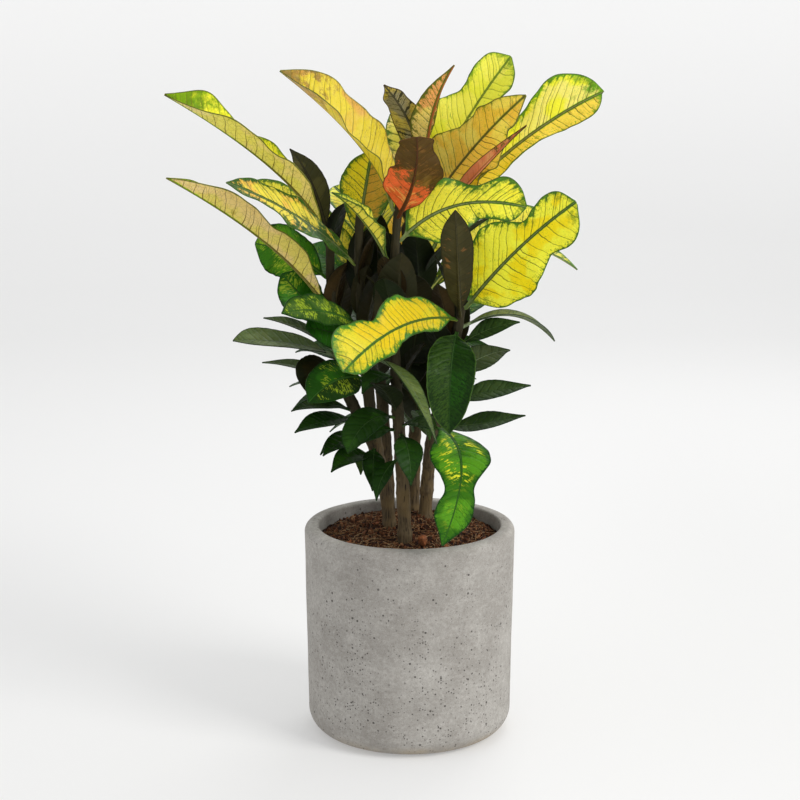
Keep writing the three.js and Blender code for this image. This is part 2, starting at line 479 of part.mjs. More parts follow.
// The directions across the blade and out of its upper face, at a share s of its length.
function bladeAxes(leaf, side, rib, s) {
  const along = rib.getTangent(s);
  const flat = side.clone().addScaledVector(along, -side.dot(along)).normalize();
  const up = flat.clone().cross(along);
  const outer = Math.max(0, (s - CURL_START) / (1 - CURL_START));
  const turn = (leaf.roll + leaf.twist * s + leaf.curl * outer ** 2) * DEG;
  return {
    out: flat.clone().multiplyScalar(Math.cos(turn)).addScaledVector(up, Math.sin(turn)),
    normal: up.clone().multiplyScalar(Math.cos(turn)).addScaledVector(flat, -Math.sin(turn)),
  };
}

// How far a point lies across from the rib and above it, at t from -1 to 1 across the blade.
function bladeSection(leaf, s, t) {
  const belly = Math.sin(Math.PI * s);
  const shifted = s + Math.sign(t) * LAG * Math.sin(2 * Math.PI * s) * belly;
  const least = s < LEAF.petioleShare ? LEAF.petiole : LEAF.tipHalf;
  let share = halfWidth(leaf.form, shifted);
  for (const [half, at, reach, bulge] of leaf.lobes) {
    if (half * t > 0) share += bulge * Math.exp(-(((s - at) / reach) ** 2));
  }
  const half = Math.max(least, (leaf.width / 2) * share);
  const phase = 2 * Math.PI * RUFFLES * s + (t > 0 ? 0 : RUFFLE_OFFSET);
  const ruffle = leaf.wave * t * t * Math.sin(phase) * belly;
  return {
    across: half * t * Math.cos(leaf.fold * DEG),
    rise: half * Math.abs(t) * Math.sin(leaf.fold * DEG) - leaf.cup * half * t * t + ruffle,
  };
}

// Points are listed station by station, first the upper face from side to side and then the lower.
function skinBlade(points, rows, count) {
  const faces = [];
  const top = (k, j) => k * 2 * count + j;
  const under = (k, j) => top(k, j) + count;
  for (let k = 0; k + 1 < rows; k += 1) {
    for (let j = 0; j + 1 < count; j += 1) {
      faces.push([top(k, j), top(k, j + 1), top(k + 1, j + 1)]);
      faces.push([top(k, j), top(k + 1, j + 1), top(k + 1, j)]);
      faces.push([under(k, j), under(k + 1, j + 1), under(k, j + 1)]);
      faces.push([under(k, j), under(k + 1, j), under(k + 1, j + 1)]);
    }
    const j = count - 1;
    faces.push([top(k, 0), top(k + 1, 0), under(k + 1, 0)], [top(k, 0), under(k + 1, 0), under(k, 0)]);
    faces.push([top(k, j), under(k + 1, j), top(k + 1, j)], [top(k, j), under(k, j), under(k + 1, j)]);
  }
  const k = rows - 1;
  for (let j = 0; j + 1 < count; j += 1) {
    faces.push([top(0, j), under(0, j), under(0, j + 1)], [top(0, j), under(0, j + 1), top(0, j + 1)]);
    faces.push([top(k, j), under(k, j + 1), under(k, j)], [top(k, j), top(k, j + 1), under(k, j + 1)]);
  }
  return geometryFromPoints(points, faces);
}

function bladeGeometry(row, { stations, halves }) {
  const leaf = { ...DEFAULTS, ...row };
  const { side, rib } = ribOf(leaf);
  const points = [];
  for (const s of stations) {
    const { out, normal } = bladeAxes(leaf, side, rib, s);
    for (const face of [1, -1]) {
      for (let j = -halves; j <= halves; j += 1) {
        const { across, rise } = bladeSection(leaf, s, j / halves);
        const keel = j === 0 && face < 0 ? LEAF.rib * (1 - s) : 0;
        points.push(rib.getPoint(s).addScaledVector(out, across)
          .addScaledVector(normal, rise + (face * LEAF.thickness) / 2 - keel));
      }
    }
  }
  return skinBlade(points, stations.length, 2 * halves + 1);
}

function innerRow([stem, at, compass, lift, length, width]) {
  const root = pointOnStem(stem, at);
  const reach = length * Math.cos(lift * DEG);
  const tip = [
    root.x + reach * Math.cos(compass * DEG),
    root.y + reach * Math.sin(compass * DEG),
    root.z + length * Math.sin(lift * DEG),
  ];
  return { stem, at, tip, width, ...INNER_LEAF };
}

function makeTrunk(name, lines) {
  let wood = lines.map(stemSolid).reduce((joined, next) => joined.add(next));
  for (const row of [...GROWN, ...INNER.map(innerRow)].filter(({ stem }) => lines.includes(stem))) {
    wood = wood.add(solidFrom(bladeGeometry({ ...row, grown: true }, FEW)));
  }
  return meshOf(name, geometryFrom(wood), 'bark');
}

function makeLeaf(row) {
  return meshOf(row.name, bladeGeometry(row, row.width < LARGE.width ? MIDDLE : LARGE), row.tint);
}

const croton = new THREE.Group();
croton.add(makePot(), makeSoil());
for (const [name, lines] of Object.entries(TRUNKS)) croton.add(makeTrunk(name, lines));
for (const row of OUTER) croton.add(makeLeaf(row));

export default croton;
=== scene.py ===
import math
import random
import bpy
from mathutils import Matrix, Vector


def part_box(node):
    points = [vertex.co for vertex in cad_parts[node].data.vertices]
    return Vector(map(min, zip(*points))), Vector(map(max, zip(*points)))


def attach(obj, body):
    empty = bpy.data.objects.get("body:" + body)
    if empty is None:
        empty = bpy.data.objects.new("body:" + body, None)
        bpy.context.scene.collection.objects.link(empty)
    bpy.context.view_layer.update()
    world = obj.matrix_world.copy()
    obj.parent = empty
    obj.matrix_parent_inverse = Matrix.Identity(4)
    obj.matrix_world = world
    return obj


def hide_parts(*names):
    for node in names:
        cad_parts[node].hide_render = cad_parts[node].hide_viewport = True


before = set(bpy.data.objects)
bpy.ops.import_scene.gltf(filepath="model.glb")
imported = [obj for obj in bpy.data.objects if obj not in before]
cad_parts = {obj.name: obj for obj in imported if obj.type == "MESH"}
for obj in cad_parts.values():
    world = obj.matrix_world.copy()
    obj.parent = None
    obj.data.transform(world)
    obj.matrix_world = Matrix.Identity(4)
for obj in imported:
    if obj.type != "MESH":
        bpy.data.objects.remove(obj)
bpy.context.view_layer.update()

from types import SimpleNamespace

import bpy
import numpy as np
from mathutils import Vector, noise

# Pot
# One round planter cast in grey concrete. The mould rounds its foot and rim, and air bubbles
# have left small pits all over it. It stands on its flat foot.

POT_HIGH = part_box("pot")[1]
POT_RADIUS = POT_HIGH.x
POT_HEIGHT = POT_HIGH.z
FOOT_RADIUS = 0.107
FOOT_ROUND = 0.024
RIM_ROUND = 0.007
LIP_ROUND = 0.003
POT_WALL = 0.0155
POT_FLOOR = 0.020
POT_SIDES = 160
WALL_RINGS = 44
INNER_RINGS = (0.212, 0.206, 0.19, 0.12, 0.06)  # heights down the inside
UNEVEN = 0.0007  # how far the cast wall strays from round
UNEVEN_WAVE = 0.045
FOOT_STILL = 0.004  # up to here the foot stays flat
FOOT_EASE = 0.03  # and this much higher the wall strays fully
POT_CREASE = math.radians(50)

CONCRETE_PALE = "bab7b1"
CONCRETE_DARK = "9a9690"
CONCRETE_PIT_SHADE = "4a4743"
CONCRETE_TAN = "a8987f"  # stains at the foot
CONCRETE_FILM = "bfbbb5"
CONCRETE_MOTTLE = "8a857e"
CONCRETE_SAND = "7d7871"
CONCRETE_LIME = "cbc8c3"
PIT_SHADE, PIT_DEEP = 0.85, 1.2  # how much painted shade darkens a pit, and how far a pit dents the wall


def paint(code):
    """The linear colour of a written sRGB colour."""
    parts = [int(code[i:i + 2], 16) / 255 for i in (0, 2, 4)]
    linear = [p / 12.92 if p <= 0.04045 else ((p + 0.055) / 1.055) ** 2.4 for p in parts]
    return (*linear, 1.0)


def start_alone():
    """Nothing is selected, so that the next operator acts on the next piece alone."""
    if bpy.context.object and bpy.context.object.mode != "OBJECT":
        bpy.ops.object.mode_set(mode="OBJECT")
    bpy.ops.object.select_all(action="DESELECT")


def pick(*pieces):
    """These pieces alone are selected, and the first is active."""
    start_alone()
    for piece in pieces:
        piece.select_set(True)
    bpy.context.view_layer.objects.active = pieces[0]


def put(tree, kind, inputs=None, **settings):
    """A shader node with its settings. Each input takes a value or another node's output."""
    node = tree.nodes.new("ShaderNode" + kind)
    for name, value in settings.items():
        setattr(node, name, value)
    for key, value in (inputs or {}).items():
        if isinstance(value, bpy.types.NodeSocket):
            tree.links.new(value, node.inputs[key])
        else:
            node.inputs[key].default_value = value
    return node


def maths(tree, operation, first, second=0.0):
    return put(tree, "Math", {0: first, 1: second}, operation=operation).outputs[0]


def times(tree, *factors):
    product = factors[0]
    for factor in factors[1:]:
        product = maths(tree, "MULTIPLY", product, factor)
    return product


def plus(tree, *terms):
    total = terms[0]
    for term in terms[1:]:
        total = maths(tree, "ADD", total, term)
    return total


def minus(tree, first, second):
    return maths(tree, "SUBTRACT", first, second)


def larger(tree, *shares):
    most = shares[0]
    for share in shares[1:]:
        most = maths(tree, "MAXIMUM", most, share)
    return most


def rise(tree, value, start, stop, low=0.0, high=1.0):
    """Goes smoothly from low to high as value goes from start to stop."""
    inputs = {"Value": value, "From Min": start, "From Max": stop, "To Min": low, "To Max": high}
    return put(tree, "MapRange", inputs, interpolation_type="SMOOTHSTEP").outputs[0]


def mingle(tree, share, first, second, way="MIX"):
    """The first colour, with the second laid over it by share."""
    node = put(tree, "Mix", {0: share, 6: first, 7: second}, data_type="RGBA", blend_type=way)
    return node.outputs[2]


def cloud(tree, where, scale, detail=3.0, rough=0.5):
    inputs = {"Vector": where, "Scale": scale, "Detail": detail, "Roughness": rough}
    return put(tree, "TexNoise", inputs).outputs[0]


def new_finish(name):
    material = bpy.data.materials.new(name)
    material.use_nodes = True
    material.node_tree.nodes.clear()
    return material, material.node_tree


def close_finish(tree, shader):
    tree.links.new(shader.outputs[0], put(tree, "OutputMaterial").inputs["Surface"])


def close_dull(tree, colour, rough, shine, bump):
    """Ends a dull finish, such as concrete, soil or bark."""
    close_finish(tree, put(tree, "BsdfPrincipled", {
        "Base Color": colour, "Roughness": rough, "Normal": bump.outputs[0], "Specular IOR Level": shine,
    }))


def quarter(centre_r, centre_z, radius, start, stop, steps):
    """Points on an arc of the pot's outline, its angles in degrees."""
    points = []
    for k in range(1, steps + 1):
        turn = math.radians(start + (stop - start) * k / steps)
        points.append((centre_r + radius * math.cos(turn), centre_z + radius * math.sin(turn)))
    return points


def pot_outline():
    """Radius and height from the foot's edge up the outside, over the rim and down inside."""
    inner = POT_RADIUS - POT_WALL
    outline = quarter(FOOT_RADIUS - FOOT_ROUND, FOOT_ROUND, FOOT_ROUND, -90, 0, 12)
    shoulder = POT_HEIGHT - RIM_ROUND
    for k in range(1, WALL_RINGS + 1):
        share = k / WALL_RINGS
        radius = FOOT_RADIUS + (POT_RADIUS - FOOT_RADIUS) * share
        outline.append((radius, FOOT_ROUND + (shoulder - FOOT_ROUND) * share))
    outline += quarter(POT_RADIUS - RIM_ROUND, shoulder, RIM_ROUND, 0, 90, 7)
    outline += quarter(inner + LIP_ROUND, POT_HEIGHT - LIP_ROUND, LIP_ROUND, 90, 180, 5)
    for height in (*INNER_RINGS, POT_FLOOR):
        outline.append((inner, height))
    return outline


def make_pot():
    start_alone()
    radius = FOOT_RADIUS - FOOT_ROUND
    bpy.ops.mesh.primitive_circle_add(vertices=POT_SIDES, radius=radius, fill_type="NGON")
    pot = bpy.context.object
    pot.name = "planter"
    bpy.ops.object.mode_set(mode="EDIT")
    bpy.ops.mesh.select_all(action="SELECT")
    height = 0.0
    for next_radius, next_height in pot_outline():
        lift = {"value": (0, 0, next_height - height)}
        bpy.ops.mesh.extrude_region_move(TRANSFORM_OT_translate=lift)
        grow = next_radius / radius
        bpy.ops.transform.resize(value=(grow, grow, 1))
        radius, height = next_radius, next_height
    bpy.ops.mesh.select_all(action="SELECT")
    bpy.ops.mesh.normals_make_consistent(inside=False)
    bpy.ops.object.mode_set(mode="OBJECT")
    return pot


def roughen_pot(pot):
    """The wall and rim stray a little from round. The foot stays flat."""
    wall = pot.vertex_groups.new(name="wall")
    for vertex in pot.data.vertices:
        share = min(1.0, max(0.0, (vertex.co.z - FOOT_STILL) / FOOT_EASE))
        wall.add([vertex.index], share, "REPLACE")
    drift = bpy.data.textures.new("cast wall", "CLOUDS")
    drift.noise_scale = UNEVEN_WAVE
    displace = pot.modifiers.new("cast", "DISPLACE")
    displace.texture = drift
    displace.texture_coords = "LOCAL"
    displace.strength = UNEVEN
    displace.mid_level = 0.9
    displace.vertex_group = "wall"
    pick(pot)
    bpy.ops.object.modifier_apply(modifier="cast")
    bpy.ops.object.shade_smooth_by_angle(angle=POT_CREASE)


def pits(tree, where, scale, share, size):
    """Round holes: share of the cells have one, up to size of a cell across."""
    cells = put(tree, "TexVoronoi", {"Vector": where, "Scale": scale})
    chance = put(tree, "SeparateColor", {0: cells.outputs["Color"]}).outputs[0]
    radius = put(tree, "MapRange", {"Value": chance, "From Min": 1 - share, "To Max": size}).outputs[0]
    inside = minus(tree, radius, cells.outputs["Distance"])
    return rise(tree, inside, 0.0, 0.03)


def concrete():
    """Grey cement with a pale film, sand, lime specks, stains at the foot, and air pits in painted shade."""
    material, tree = new_finish("cast concrete")
    where = put(tree, "TexCoord").outputs["Object"]
    broad = rise(tree, cloud(tree, where, 17, 5, 0.65), 0.30, 0.72)
    colour = mingle(tree, broad, paint(CONCRETE_DARK), paint(CONCRETE_PALE))
    smear = put(tree, "Mapping", {"Vector": where, "Scale": (1.0, 1.0, 2.6)}).outputs[0]
    film = rise(tree, cloud(tree, smear, 60, 7, 0.75), 0.46, 0.60, 0.0, 0.34)
    colour = mingle(tree, film, colour, paint(CONCRETE_FILM))
    mottle = rise(tree, cloud(tree, where, 260, 5, 0.8), 0.36, 0.64, 0.0, 0.5)
    colour = mingle(tree, mottle, colour, paint(CONCRETE_MOTTLE))
    sand = rise(tree, cloud(tree, where, 1100, 3, 0.8), 0.52, 0.66, 0.0, 0.6)
    colour = mingle(tree, sand, colour, paint(CONCRETE_SAND))
    lime = rise(tree, cloud(tree, where, 900, 2, 0.8), 0.60, 0.70, 0.0, 0.5)
    colour = mingle(tree, lime, colour, paint(CONCRETE_LIME))
    height = put(tree, "SeparateXYZ", {0: where}).outputs[2]
    foot = times(tree, rise(tree, height, 0.017, 0.004), broad)
    colour = mingle(tree, times(tree, foot, 0.8), colour, paint(CONCRETE_TAN))
    clusters = rise(tree, cloud(tree, where, 24, 2), 0.34, 0.56)
    clusters = times(tree, clusters, rise(tree, height, 0.19, 0.10, 0.35, 1.0))
    fine = times(tree, pits(tree, where, 380, 0.62, 0.36), clusters)
    bunched = rise(tree, clusters, 0.1, 0.5, 0.4, 1.0)
    middling = times(tree, pits(tree, where, 190, 0.40, 0.26), bunched)
    holes = larger(tree, middling, fine, pits(tree, where, 85, 0.18, 0.14))
    # The pits are painted dark as the shade inside them.
    colour = mingle(tree, times(tree, holes, PIT_SHADE), colour, paint(CONCRETE_PIT_SHADE))
    relief = times(tree, cloud(tree, where, 520, 4, 0.7), 0.35)
    relief = plus(tree, relief, times(tree, cloud(tree, where, 70, 3), 0.5))
    relief = minus(tree, relief, times(tree, holes, PIT_DEEP))
    bump = put(tree, "Bump", {"Strength": 0.7, "Distance": 0.0007, "Height": relief})
    rough = rise(tree, mottle, 0.0, 0.4, 0.82, 0.95)
    close_dull(tree, colour, rough, 0.3, bump)
    return material


planter = make_pot()
roughen_pot(planter)
planter.data.materials.append(concrete())
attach(planter, "root")
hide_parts("pot")

# Soil
# A root ball of reddish coir and bark, mounded a little behind the stems. Crumbs, chips and
# dry fibres lie loose on it, and one larger bark chip stands beside the front stem.

SOIL_EDGE = 0.205
SOIL_RISE = 0.015
SOIL_CENTRE = (0.0, 0.030)
SOIL_SPREAD = 0.046
SOIL_RADIUS = POT_RADIUS - POT_WALL - 0.0004
SOIL_FOOT = 0.0203
SOIL_DROP = 0.1
SOIL_GRID = 130
SOIL_CREASE = math.radians(60)
CLODS, CLOD_RISE = 95, 0.0022  # how many a metre, and how far they rise
GRAINS, GRAIN_RISE = 330, 0.0012
CRUMBS = 4200
CRUMB_LEAST, CRUMB_MORE = 0.0006, 0.0017
FIBRES = 420
FIBRE_LENGTH = (0.006, 0.026)
FIBRE_THICK = (0.00014, 0.0003)
CHIPS = 36
CHIP_SIZE = (0.0018, 0.0042)
BIG_CHIP = (0.0135, -0.0455)
BIG_CHIP_SIZE = (0.0072, 0.0058, 0.0085)


def soil_height(x, y):
    away = ((x - SOIL_CENTRE[0]) ** 2 + (y - SOIL_CENTRE[1]) ** 2) / (2 * SOIL_SPREAD ** 2)
    return SOIL_EDGE + SOIL_RISE * math.exp(-away)


def soil_top(x, y):
    """The soil's height with its clods and grains."""
    clods = noise.noise(Vector((x * CLODS, y * CLODS, 3.1))) * CLOD_RISE
    grains = noise.noise(Vector((x * GRAINS, y * GRAINS, 7.7))) * GRAIN_RISE
    return soil_height(x, y) + clods + grains


def make_soil_bed():
    """A round bed with a rough top, closed below by a flat bottom."""
    start_alone()
    bpy.ops.mesh.primitive_grid_add(x_subdivisions=SOIL_GRID, y_subdivisions=SOIL_GRID, size=2)
    bed = bpy.context.object
    bed.name = "soil_bed"
    for vertex in bed.data.vertices:
        x, y = vertex.co.x, vertex.co.y
        across = SOIL_RADIUS * x * math.sqrt(1 - y * y / 2)
        back = SOIL_RADIUS * y * math.sqrt(1 - x * x / 2)
        vertex.co = (across, back, soil_top(across, back))
    bpy.ops.object.mode_set(mode="EDIT")
    bpy.ops.mesh.select_all(action="SELECT")
    bpy.ops.mesh.extrude_region_move(TRANSFORM_OT_translate={"value": (0, 0, -SOIL_DROP)})
    bpy.ops.transform.resize(value=(1, 1, 0))
    bpy.ops.object.mode_set(mode="OBJECT")
    for vertex in bed.data.vertices:
        if vertex.co.z < SOIL_EDGE - 0.02:
            vertex.co.z = SOIL_FOOT
    bpy.ops.object.mode_set(mode="EDIT")
    bpy.ops.mesh.normals_make_consistent(inside=False)
    bpy.ops.object.mode_set(mode="OBJECT")
    bpy.ops.object.shade_smooth_by_angle(angle=SOIL_CREASE)
    return bed


def random_place(draw, reach=0.96):
    turn = draw.uniform(0, 2 * math.pi)
    away = SOIL_RADIUS * reach * math.sqrt(draw.random())
    return away * math.cos(turn), away * math.sin(turn)


def turned(points, draw, flat=1.0):
    """The points turned at random, mostly about the upright when flat is small."""
    yaw, pitch, roll = (draw.uniform(-math.pi, math.pi) for _ in range(3))
    cy, sy = math.cos(yaw), math.sin(yaw)
    cp, sp = math.cos(pitch * flat), math.sin(pitch * flat)
    cr, sr = math.cos(roll * flat), math.sin(roll * flat)
    about_z = np.array([[cy, -sy, 0], [sy, cy, 0], [0, 0, 1]])
    about_y = np.array([[cp, 0, sp], [0, 1, 0], [-sp, 0, cp]])
    about_x = np.array([[1, 0, 0], [0, cr, -sr], [0, sr, cr]])
    return points @ (about_z @ about_y @ about_x).T


def scatter(name, base_points, base_faces, count, shape):
    """One mesh of many copies. shape gives each copy's points and its tone from 0 to 1."""
    points, faces, tones = [], [], []
    for k in range(count):
        made, tone = shape(base_points, k)
        faces += [[i + len(points) for i in face] for face in base_faces]
        points += [tuple(p) for p in made]
        tones += [tone] * len(made)
    mesh = bpy.data.meshes.new(name)
    mesh.from_pydata(points, [], faces)
    mesh.attributes.new("tone", "FLOAT", "POINT").data.foreach_set("value", tones)
    piece = bpy.data.objects.new(name, mesh)
    bpy.context.scene.collection.objects.link(piece)
    return piece


def crumb_form():
    """A small lumpy ball, modelled once for all the crumbs."""
    start_alone()
    bpy.ops.mesh.primitive_ico_sphere_add(subdivisions=1, radius=1)
    ball = bpy.context.object
    draw = random.Random(4)
    points = np.array([np.array(v.co) * draw.uniform(0.7, 1.15) for v in ball.data.vertices])
    faces = [list(f.vertices) for f in ball.data.polygons]
    bpy.data.objects.remove(ball)
    return points, faces


def make_crumbs():
    """Coir crumbs, most of them small."""
    draw = random.Random(11)

    def shape(base, k):
        x, y = random_place(draw)
        size = CRUMB_LEAST + CRUMB_MORE * draw.random() ** 2.6
        stretch = np.array([draw.uniform(0.8, 1.9), draw.uniform(0.7, 1.1), draw.uniform(0.5, 0.9)])
        made = turned(base * size * stretch, draw, 0.5) + (x, y, soil_top(x, y) + size * 0.35)
        return made, draw.random()

    return scatter("soil_crumbs", *crumb_form(), CRUMBS, shape)


def make_chips():
    """Flat bits of bark, and the big one that leans by the front stem."""
    draw = random.Random(23)

    def shape(base, k):
        if k == 0:
            made = turned(base * np.array(BIG_CHIP_SIZE), random.Random(3), 0.06)
            return made + (*BIG_CHIP, soil_top(*BIG_CHIP) + BIG_CHIP_SIZE[1]), 0.62
        x, y = random_place(draw)
        size = draw.uniform(*CHIP_SIZE)
        stretch = np.array([draw.uniform(1.0, 1.7), draw.uniform(0.6, 0.9), draw.uniform(0.2, 0.4)])
        made = turned(base * size * stretch, draw, 0.16) + (x, y, soil_top(x, y) + size * 0.3)
        return made, draw.uniform(0.3, 1.0)

    points, faces = crumb_form()
    return scatter("soil_chips", points, faces, CHIPS, shape)


def make_fibres():
    """Dry coir threads: thin three-sided strands that lie in shallow arcs."""
    draw = random.Random(37)
    joints = 6
    base, faces = np.zeros((joints * 3, 3)), []
    for j in range(joints):
        for i in range(3):
            base[j * 3 + i] = (j / (joints - 1) - 0.5, i, 0)
            if j + 1 < joints:
                a, b = j * 3 + i, j * 3 + (i + 1) % 3
                faces.append([a, b, b + 3, a + 3])
    faces += [[2, 1, 0], [joints * 3 - 3, joints * 3 - 2, joints * 3 - 1]]

    def shape(form, k):
        x, y = random_place(draw, 0.93)
        length = draw.uniform(*FIBRE_LENGTH)
        thick = draw.uniform(*FIBRE_THICK)
        yaw, bow = draw.uniform(0, 2 * math.pi), draw.uniform(-0.25, 0.25)
        made = []
        for along, side, _ in form:
            turn = side * 2 * math.pi / 3
            px = x + length * (along * math.cos(yaw) - bow * 4 * along * along * math.sin(yaw))
            py = y + length * (along * math.sin(yaw) + bow * 4 * along * along * math.cos(yaw))
            reach = math.hypot(px, py)
            if reach > SOIL_RADIUS * 0.985:
                px, py = px * SOIL_RADIUS * 0.985 / reach, py * SOIL_RADIUS * 0.985 / reach
            up = soil_top(px, py) + 0.0006 + 0.0012 * (1 - 4 * along * along)
            made.append((px - thick * math.cos(turn) * math.sin(yaw),
                         py + thick * math.cos(turn) * math.cos(yaw), up + thick * math.sin(turn)))
        return made, draw.uniform(0.35, 1.0)

    return scatter("soil_fibres", base, faces, FIBRES, shape)


def earth(name, shades, rough):
    """Coir: its shades run from damp to dry by a piece's tone, broken by noise."""
    material, tree = new_finish(name)
    where = put(tree, "TexCoord").outputs["Object"]
    tone = put(tree, "Attribute", attribute_name="tone").outputs["Fac"]
    grain = cloud(tree, where, 420, 4, 0.75)
    mixed = plus(tree, times(tree, tone, 0.75), rise(tree, grain, 0.3, 0.7, 0.0, 0.45))
    colour = paint(shades[0])
    for k, shade in enumerate(shades[1:]):
        start = 0.15 + 0.95 * k / (len(shades) - 1)
        colour = mingle(tree, rise(tree, mixed, start, start + 0.22), colour, paint(shade))
    bump = put(tree, "Bump", {"Strength": 0.9, "Distance": 0.0008, "Height": cloud(tree, where, 900, 4, 0.7)})
    close_dull(tree, colour, rough, 0.25, bump)
    return material


soil_bed = make_soil_bed()
soil_bed.data.materials.append(earth("damp coir", ("1f1009", "402212", "5a361f"), 0.95))
soil_crumbs = make_crumbs()
soil_crumbs.data.materials.append(earth("coir crumbs", ("27140b", "4b2a17", "6a4025", "987250"), 0.9))
soil_chips = make_chips()
soil_chips.data.materials.append(earth("bark chips", ("3d2416", "6e4227", "93552f"), 0.8))
soil_fibres = make_fibres()
soil_fibres.data.materials.append(earth("dry fibres", ("52321e", "7c5636", "a07c54", "bfa680"), 0.8))
for piece in (soil_bed, soil_crumbs, soil_chips, soil_fibres):
    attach(piece, "root")
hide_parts("soil")

# Stems
# Five woody stems stand in the soil, and the left one forks low down. The bark is grey-brown
# and finely furrowed, with a ring at each old leaf scar, and it thins towards the top.

STEM_SOIL_RADIUS = 0.0072
STEM_TOP_RADIUS = 0.0036
STEM_TOP = 0.600
STEM_SIDES = 20
STEM_STEP = 0.0022
STEM_BEND = 0.010  # the line is eased over this height
SCAR_PITCH = 0.021
SCAR_SWELL, SCAR_HALF = 0.10, 0.0016
SKIN_STEP = 0.0011
FURROW_DEPTH, RIDGE_DEPTH = 0.07, 0.04  # shares of the radius
BARK_PALE = "6a5b43"
BARK_WARM = "74603f"
BARK_BROWN = "443827"
BARK_DARK = "2a2118"
BARK_YOUNG_SHADED = "2b2a19"  # the thin upper wood: its own olive, darkened further as painted shade inside the bush
YOUNG_SHADE_FROM, YOUNG_SHADE_TO = 0.25, 0.37

# Each line is a list of points from the soil up, and radii shrink evenly towards the top.
STEMS = {
    "left": [
        (-0.021, 0.008, 0.150), (-0.021, 0.008, 0.222), (-0.025, 0.008, 0.258), (-0.033, 0.006, 0.295),
        (-0.050, 0.003, 0.330), (-0.070, 0.000, 0.372), (-0.078, -0.004, 0.430), (-0.081, -0.008, 0.490),
        (-0.080, -0.012, 0.532),
    ],
    "inner_left": [
        (-0.033, 0.006, 0.295), (-0.040, -0.002, 0.340), (-0.046, -0.008, 0.395), (-0.050, -0.012, 0.450),
        (-0.052, -0.016, 0.505), (-0.050, -0.018, 0.552),
    ],
    "front": [
        (-0.005, -0.032, 0.150), (-0.005, -0.032, 0.225), (-0.007, -0.033, 0.262), (-0.009, -0.034, 0.305),
        (-0.013, -0.035, 0.360), (-0.016, -0.036, 0.430), (-0.016, -0.036, 0.500), (-0.012, -0.034, 0.552),
        (-0.010, -0.033, 0.568),
    ],
    "centre": [
        (0.004, 0.066, 0.150), (0.004, 0.066, 0.225), (0.006, 0.064, 0.300), (0.009, 0.060, 0.390),
        (0.012, 0.054, 0.480), (0.017, 0.046, 0.560), (0.018, 0.044, 0.591),
    ],
    "right": [
        (0.017, 0.034, 0.150), (0.017, 0.034, 0.225), (0.019, 0.031, 0.262), (0.023, 0.024, 0.305),
        (0.032, 0.010, 0.350), (0.042, -0.008, 0.395), (0.049, -0.020, 0.432), (0.052, -0.026, 0.458),
    ],
    "back": [
        (-0.022, 0.052, 0.150), (-0.022, 0.052, 0.225), (-0.026, 0.058, 0.300), (-0.032, 0.068, 0.380),
        (-0.036, 0.076, 0.460), (-0.036, 0.080, 0.530),
    ],
}
TRUNKS = {
    "trunk_left": ("left", "inner_left"),
    "stem_front": ("front",),
    "stem_centre": ("centre",),
    "stem_right": ("right",),
    "stem_back": ("back",),
}


def stem_radius(z):
    share = min(1.0, max(0.0, (z - POT_HEIGHT) / (STEM_TOP - POT_HEIGHT)))
    return STEM_SOIL_RADIUS + (STEM_TOP_RADIUS - STEM_SOIL_RADIUS) * share


def point_on_stem(line, z):
    heights = [p[2] for p in STEMS[line]]
    return np.array([np.interp(z, heights, [p[axis] for p in STEMS[line]]) for axis in range(3)])


def stem_curve(line):
    """A tube along the line, swollen at the leaf scars and closing at its tip."""
    low, high = STEMS[line][0][2], STEMS[line][-1][2]
    count = int((high - low) / STEM_STEP)
    curve = bpy.data.curves.new(line, "CURVE")
    curve.dimensions = "3D"
    curve.bevel_depth = 1.0
    curve.bevel_resolution = (STEM_SIDES - 4) // 2
    curve.use_fill_caps = True
    spline = curve.splines.new("POLY")
    spline.points.add(count)
    for k, point in enumerate(spline.points):
        z = low + (high - low) * k / count
        near = [point_on_stem(line, min(high, max(low, z + step))) for step in (-STEM_BEND, 0.0, STEM_BEND)]
        x, y = (near[0][:2] + 2 * near[1][:2] + near[2][:2]) / 4
        scar = abs((z / SCAR_PITCH + 0.35 * math.sin(z * 71)) % 1 - 0.5) * SCAR_PITCH
        swell = 1 + SCAR_SWELL * math.exp(-(scar / SCAR_HALF) ** 2) + 0.04 * math.sin(z * 160 + x * 300)
        close = min(1.0, 0.35 + (high - z) / 0.006)
        point.co = (x, y, z, 1)
        point.radius = stem_radius(z) * swell * close
    piece = bpy.data.objects.new(line, curve)
    bpy.context.scene.collection.objects.link(piece)
    return piece


def make_wood(name, lines):
    """The node's tubes, merged into one skin and furrowed lengthwise."""
    tubes = [stem_curve(line) for line in lines]
    pick(*tubes)
    bpy.ops.object.convert(target="MESH")
    if len(tubes) > 1:
        bpy.ops.object.join()
    wood = bpy.context.object
    wood.name = name + "_wood"
    remesh = wood.modifiers.new("skin", "REMESH")
    remesh.mode = "VOXEL"
    remesh.voxel_size = SKIN_STEP
    bpy.ops.object.modifier_apply(modifier="skin")
    for vertex in wood.data.vertices:
        place = vertex.co
        axes = [point_on_stem(line, place.z) for line in lines]
        axis = min(axes, key=lambda a: (a[0] - place.x) ** 2 + (a[1] - place.y) ** 2)
        away = Vector((place.x - axis[0], place.y - axis[1], 0))
        turn = math.atan2(away.y, away.x)
        furrow = noise.noise(Vector((math.cos(turn) * 2.6, math.sin(turn) * 2.6, place.z * 42)))
        ridge = noise.noise(Vector((math.cos(turn) * 5.2, math.sin(turn) * 5.2, place.z * 75 + 9)))
        vertex.co = place + away * (FURROW_DEPTH * furrow + RIDGE_DEPTH * ridge)
    bpy.ops.object.shade_smooth()
    return wood


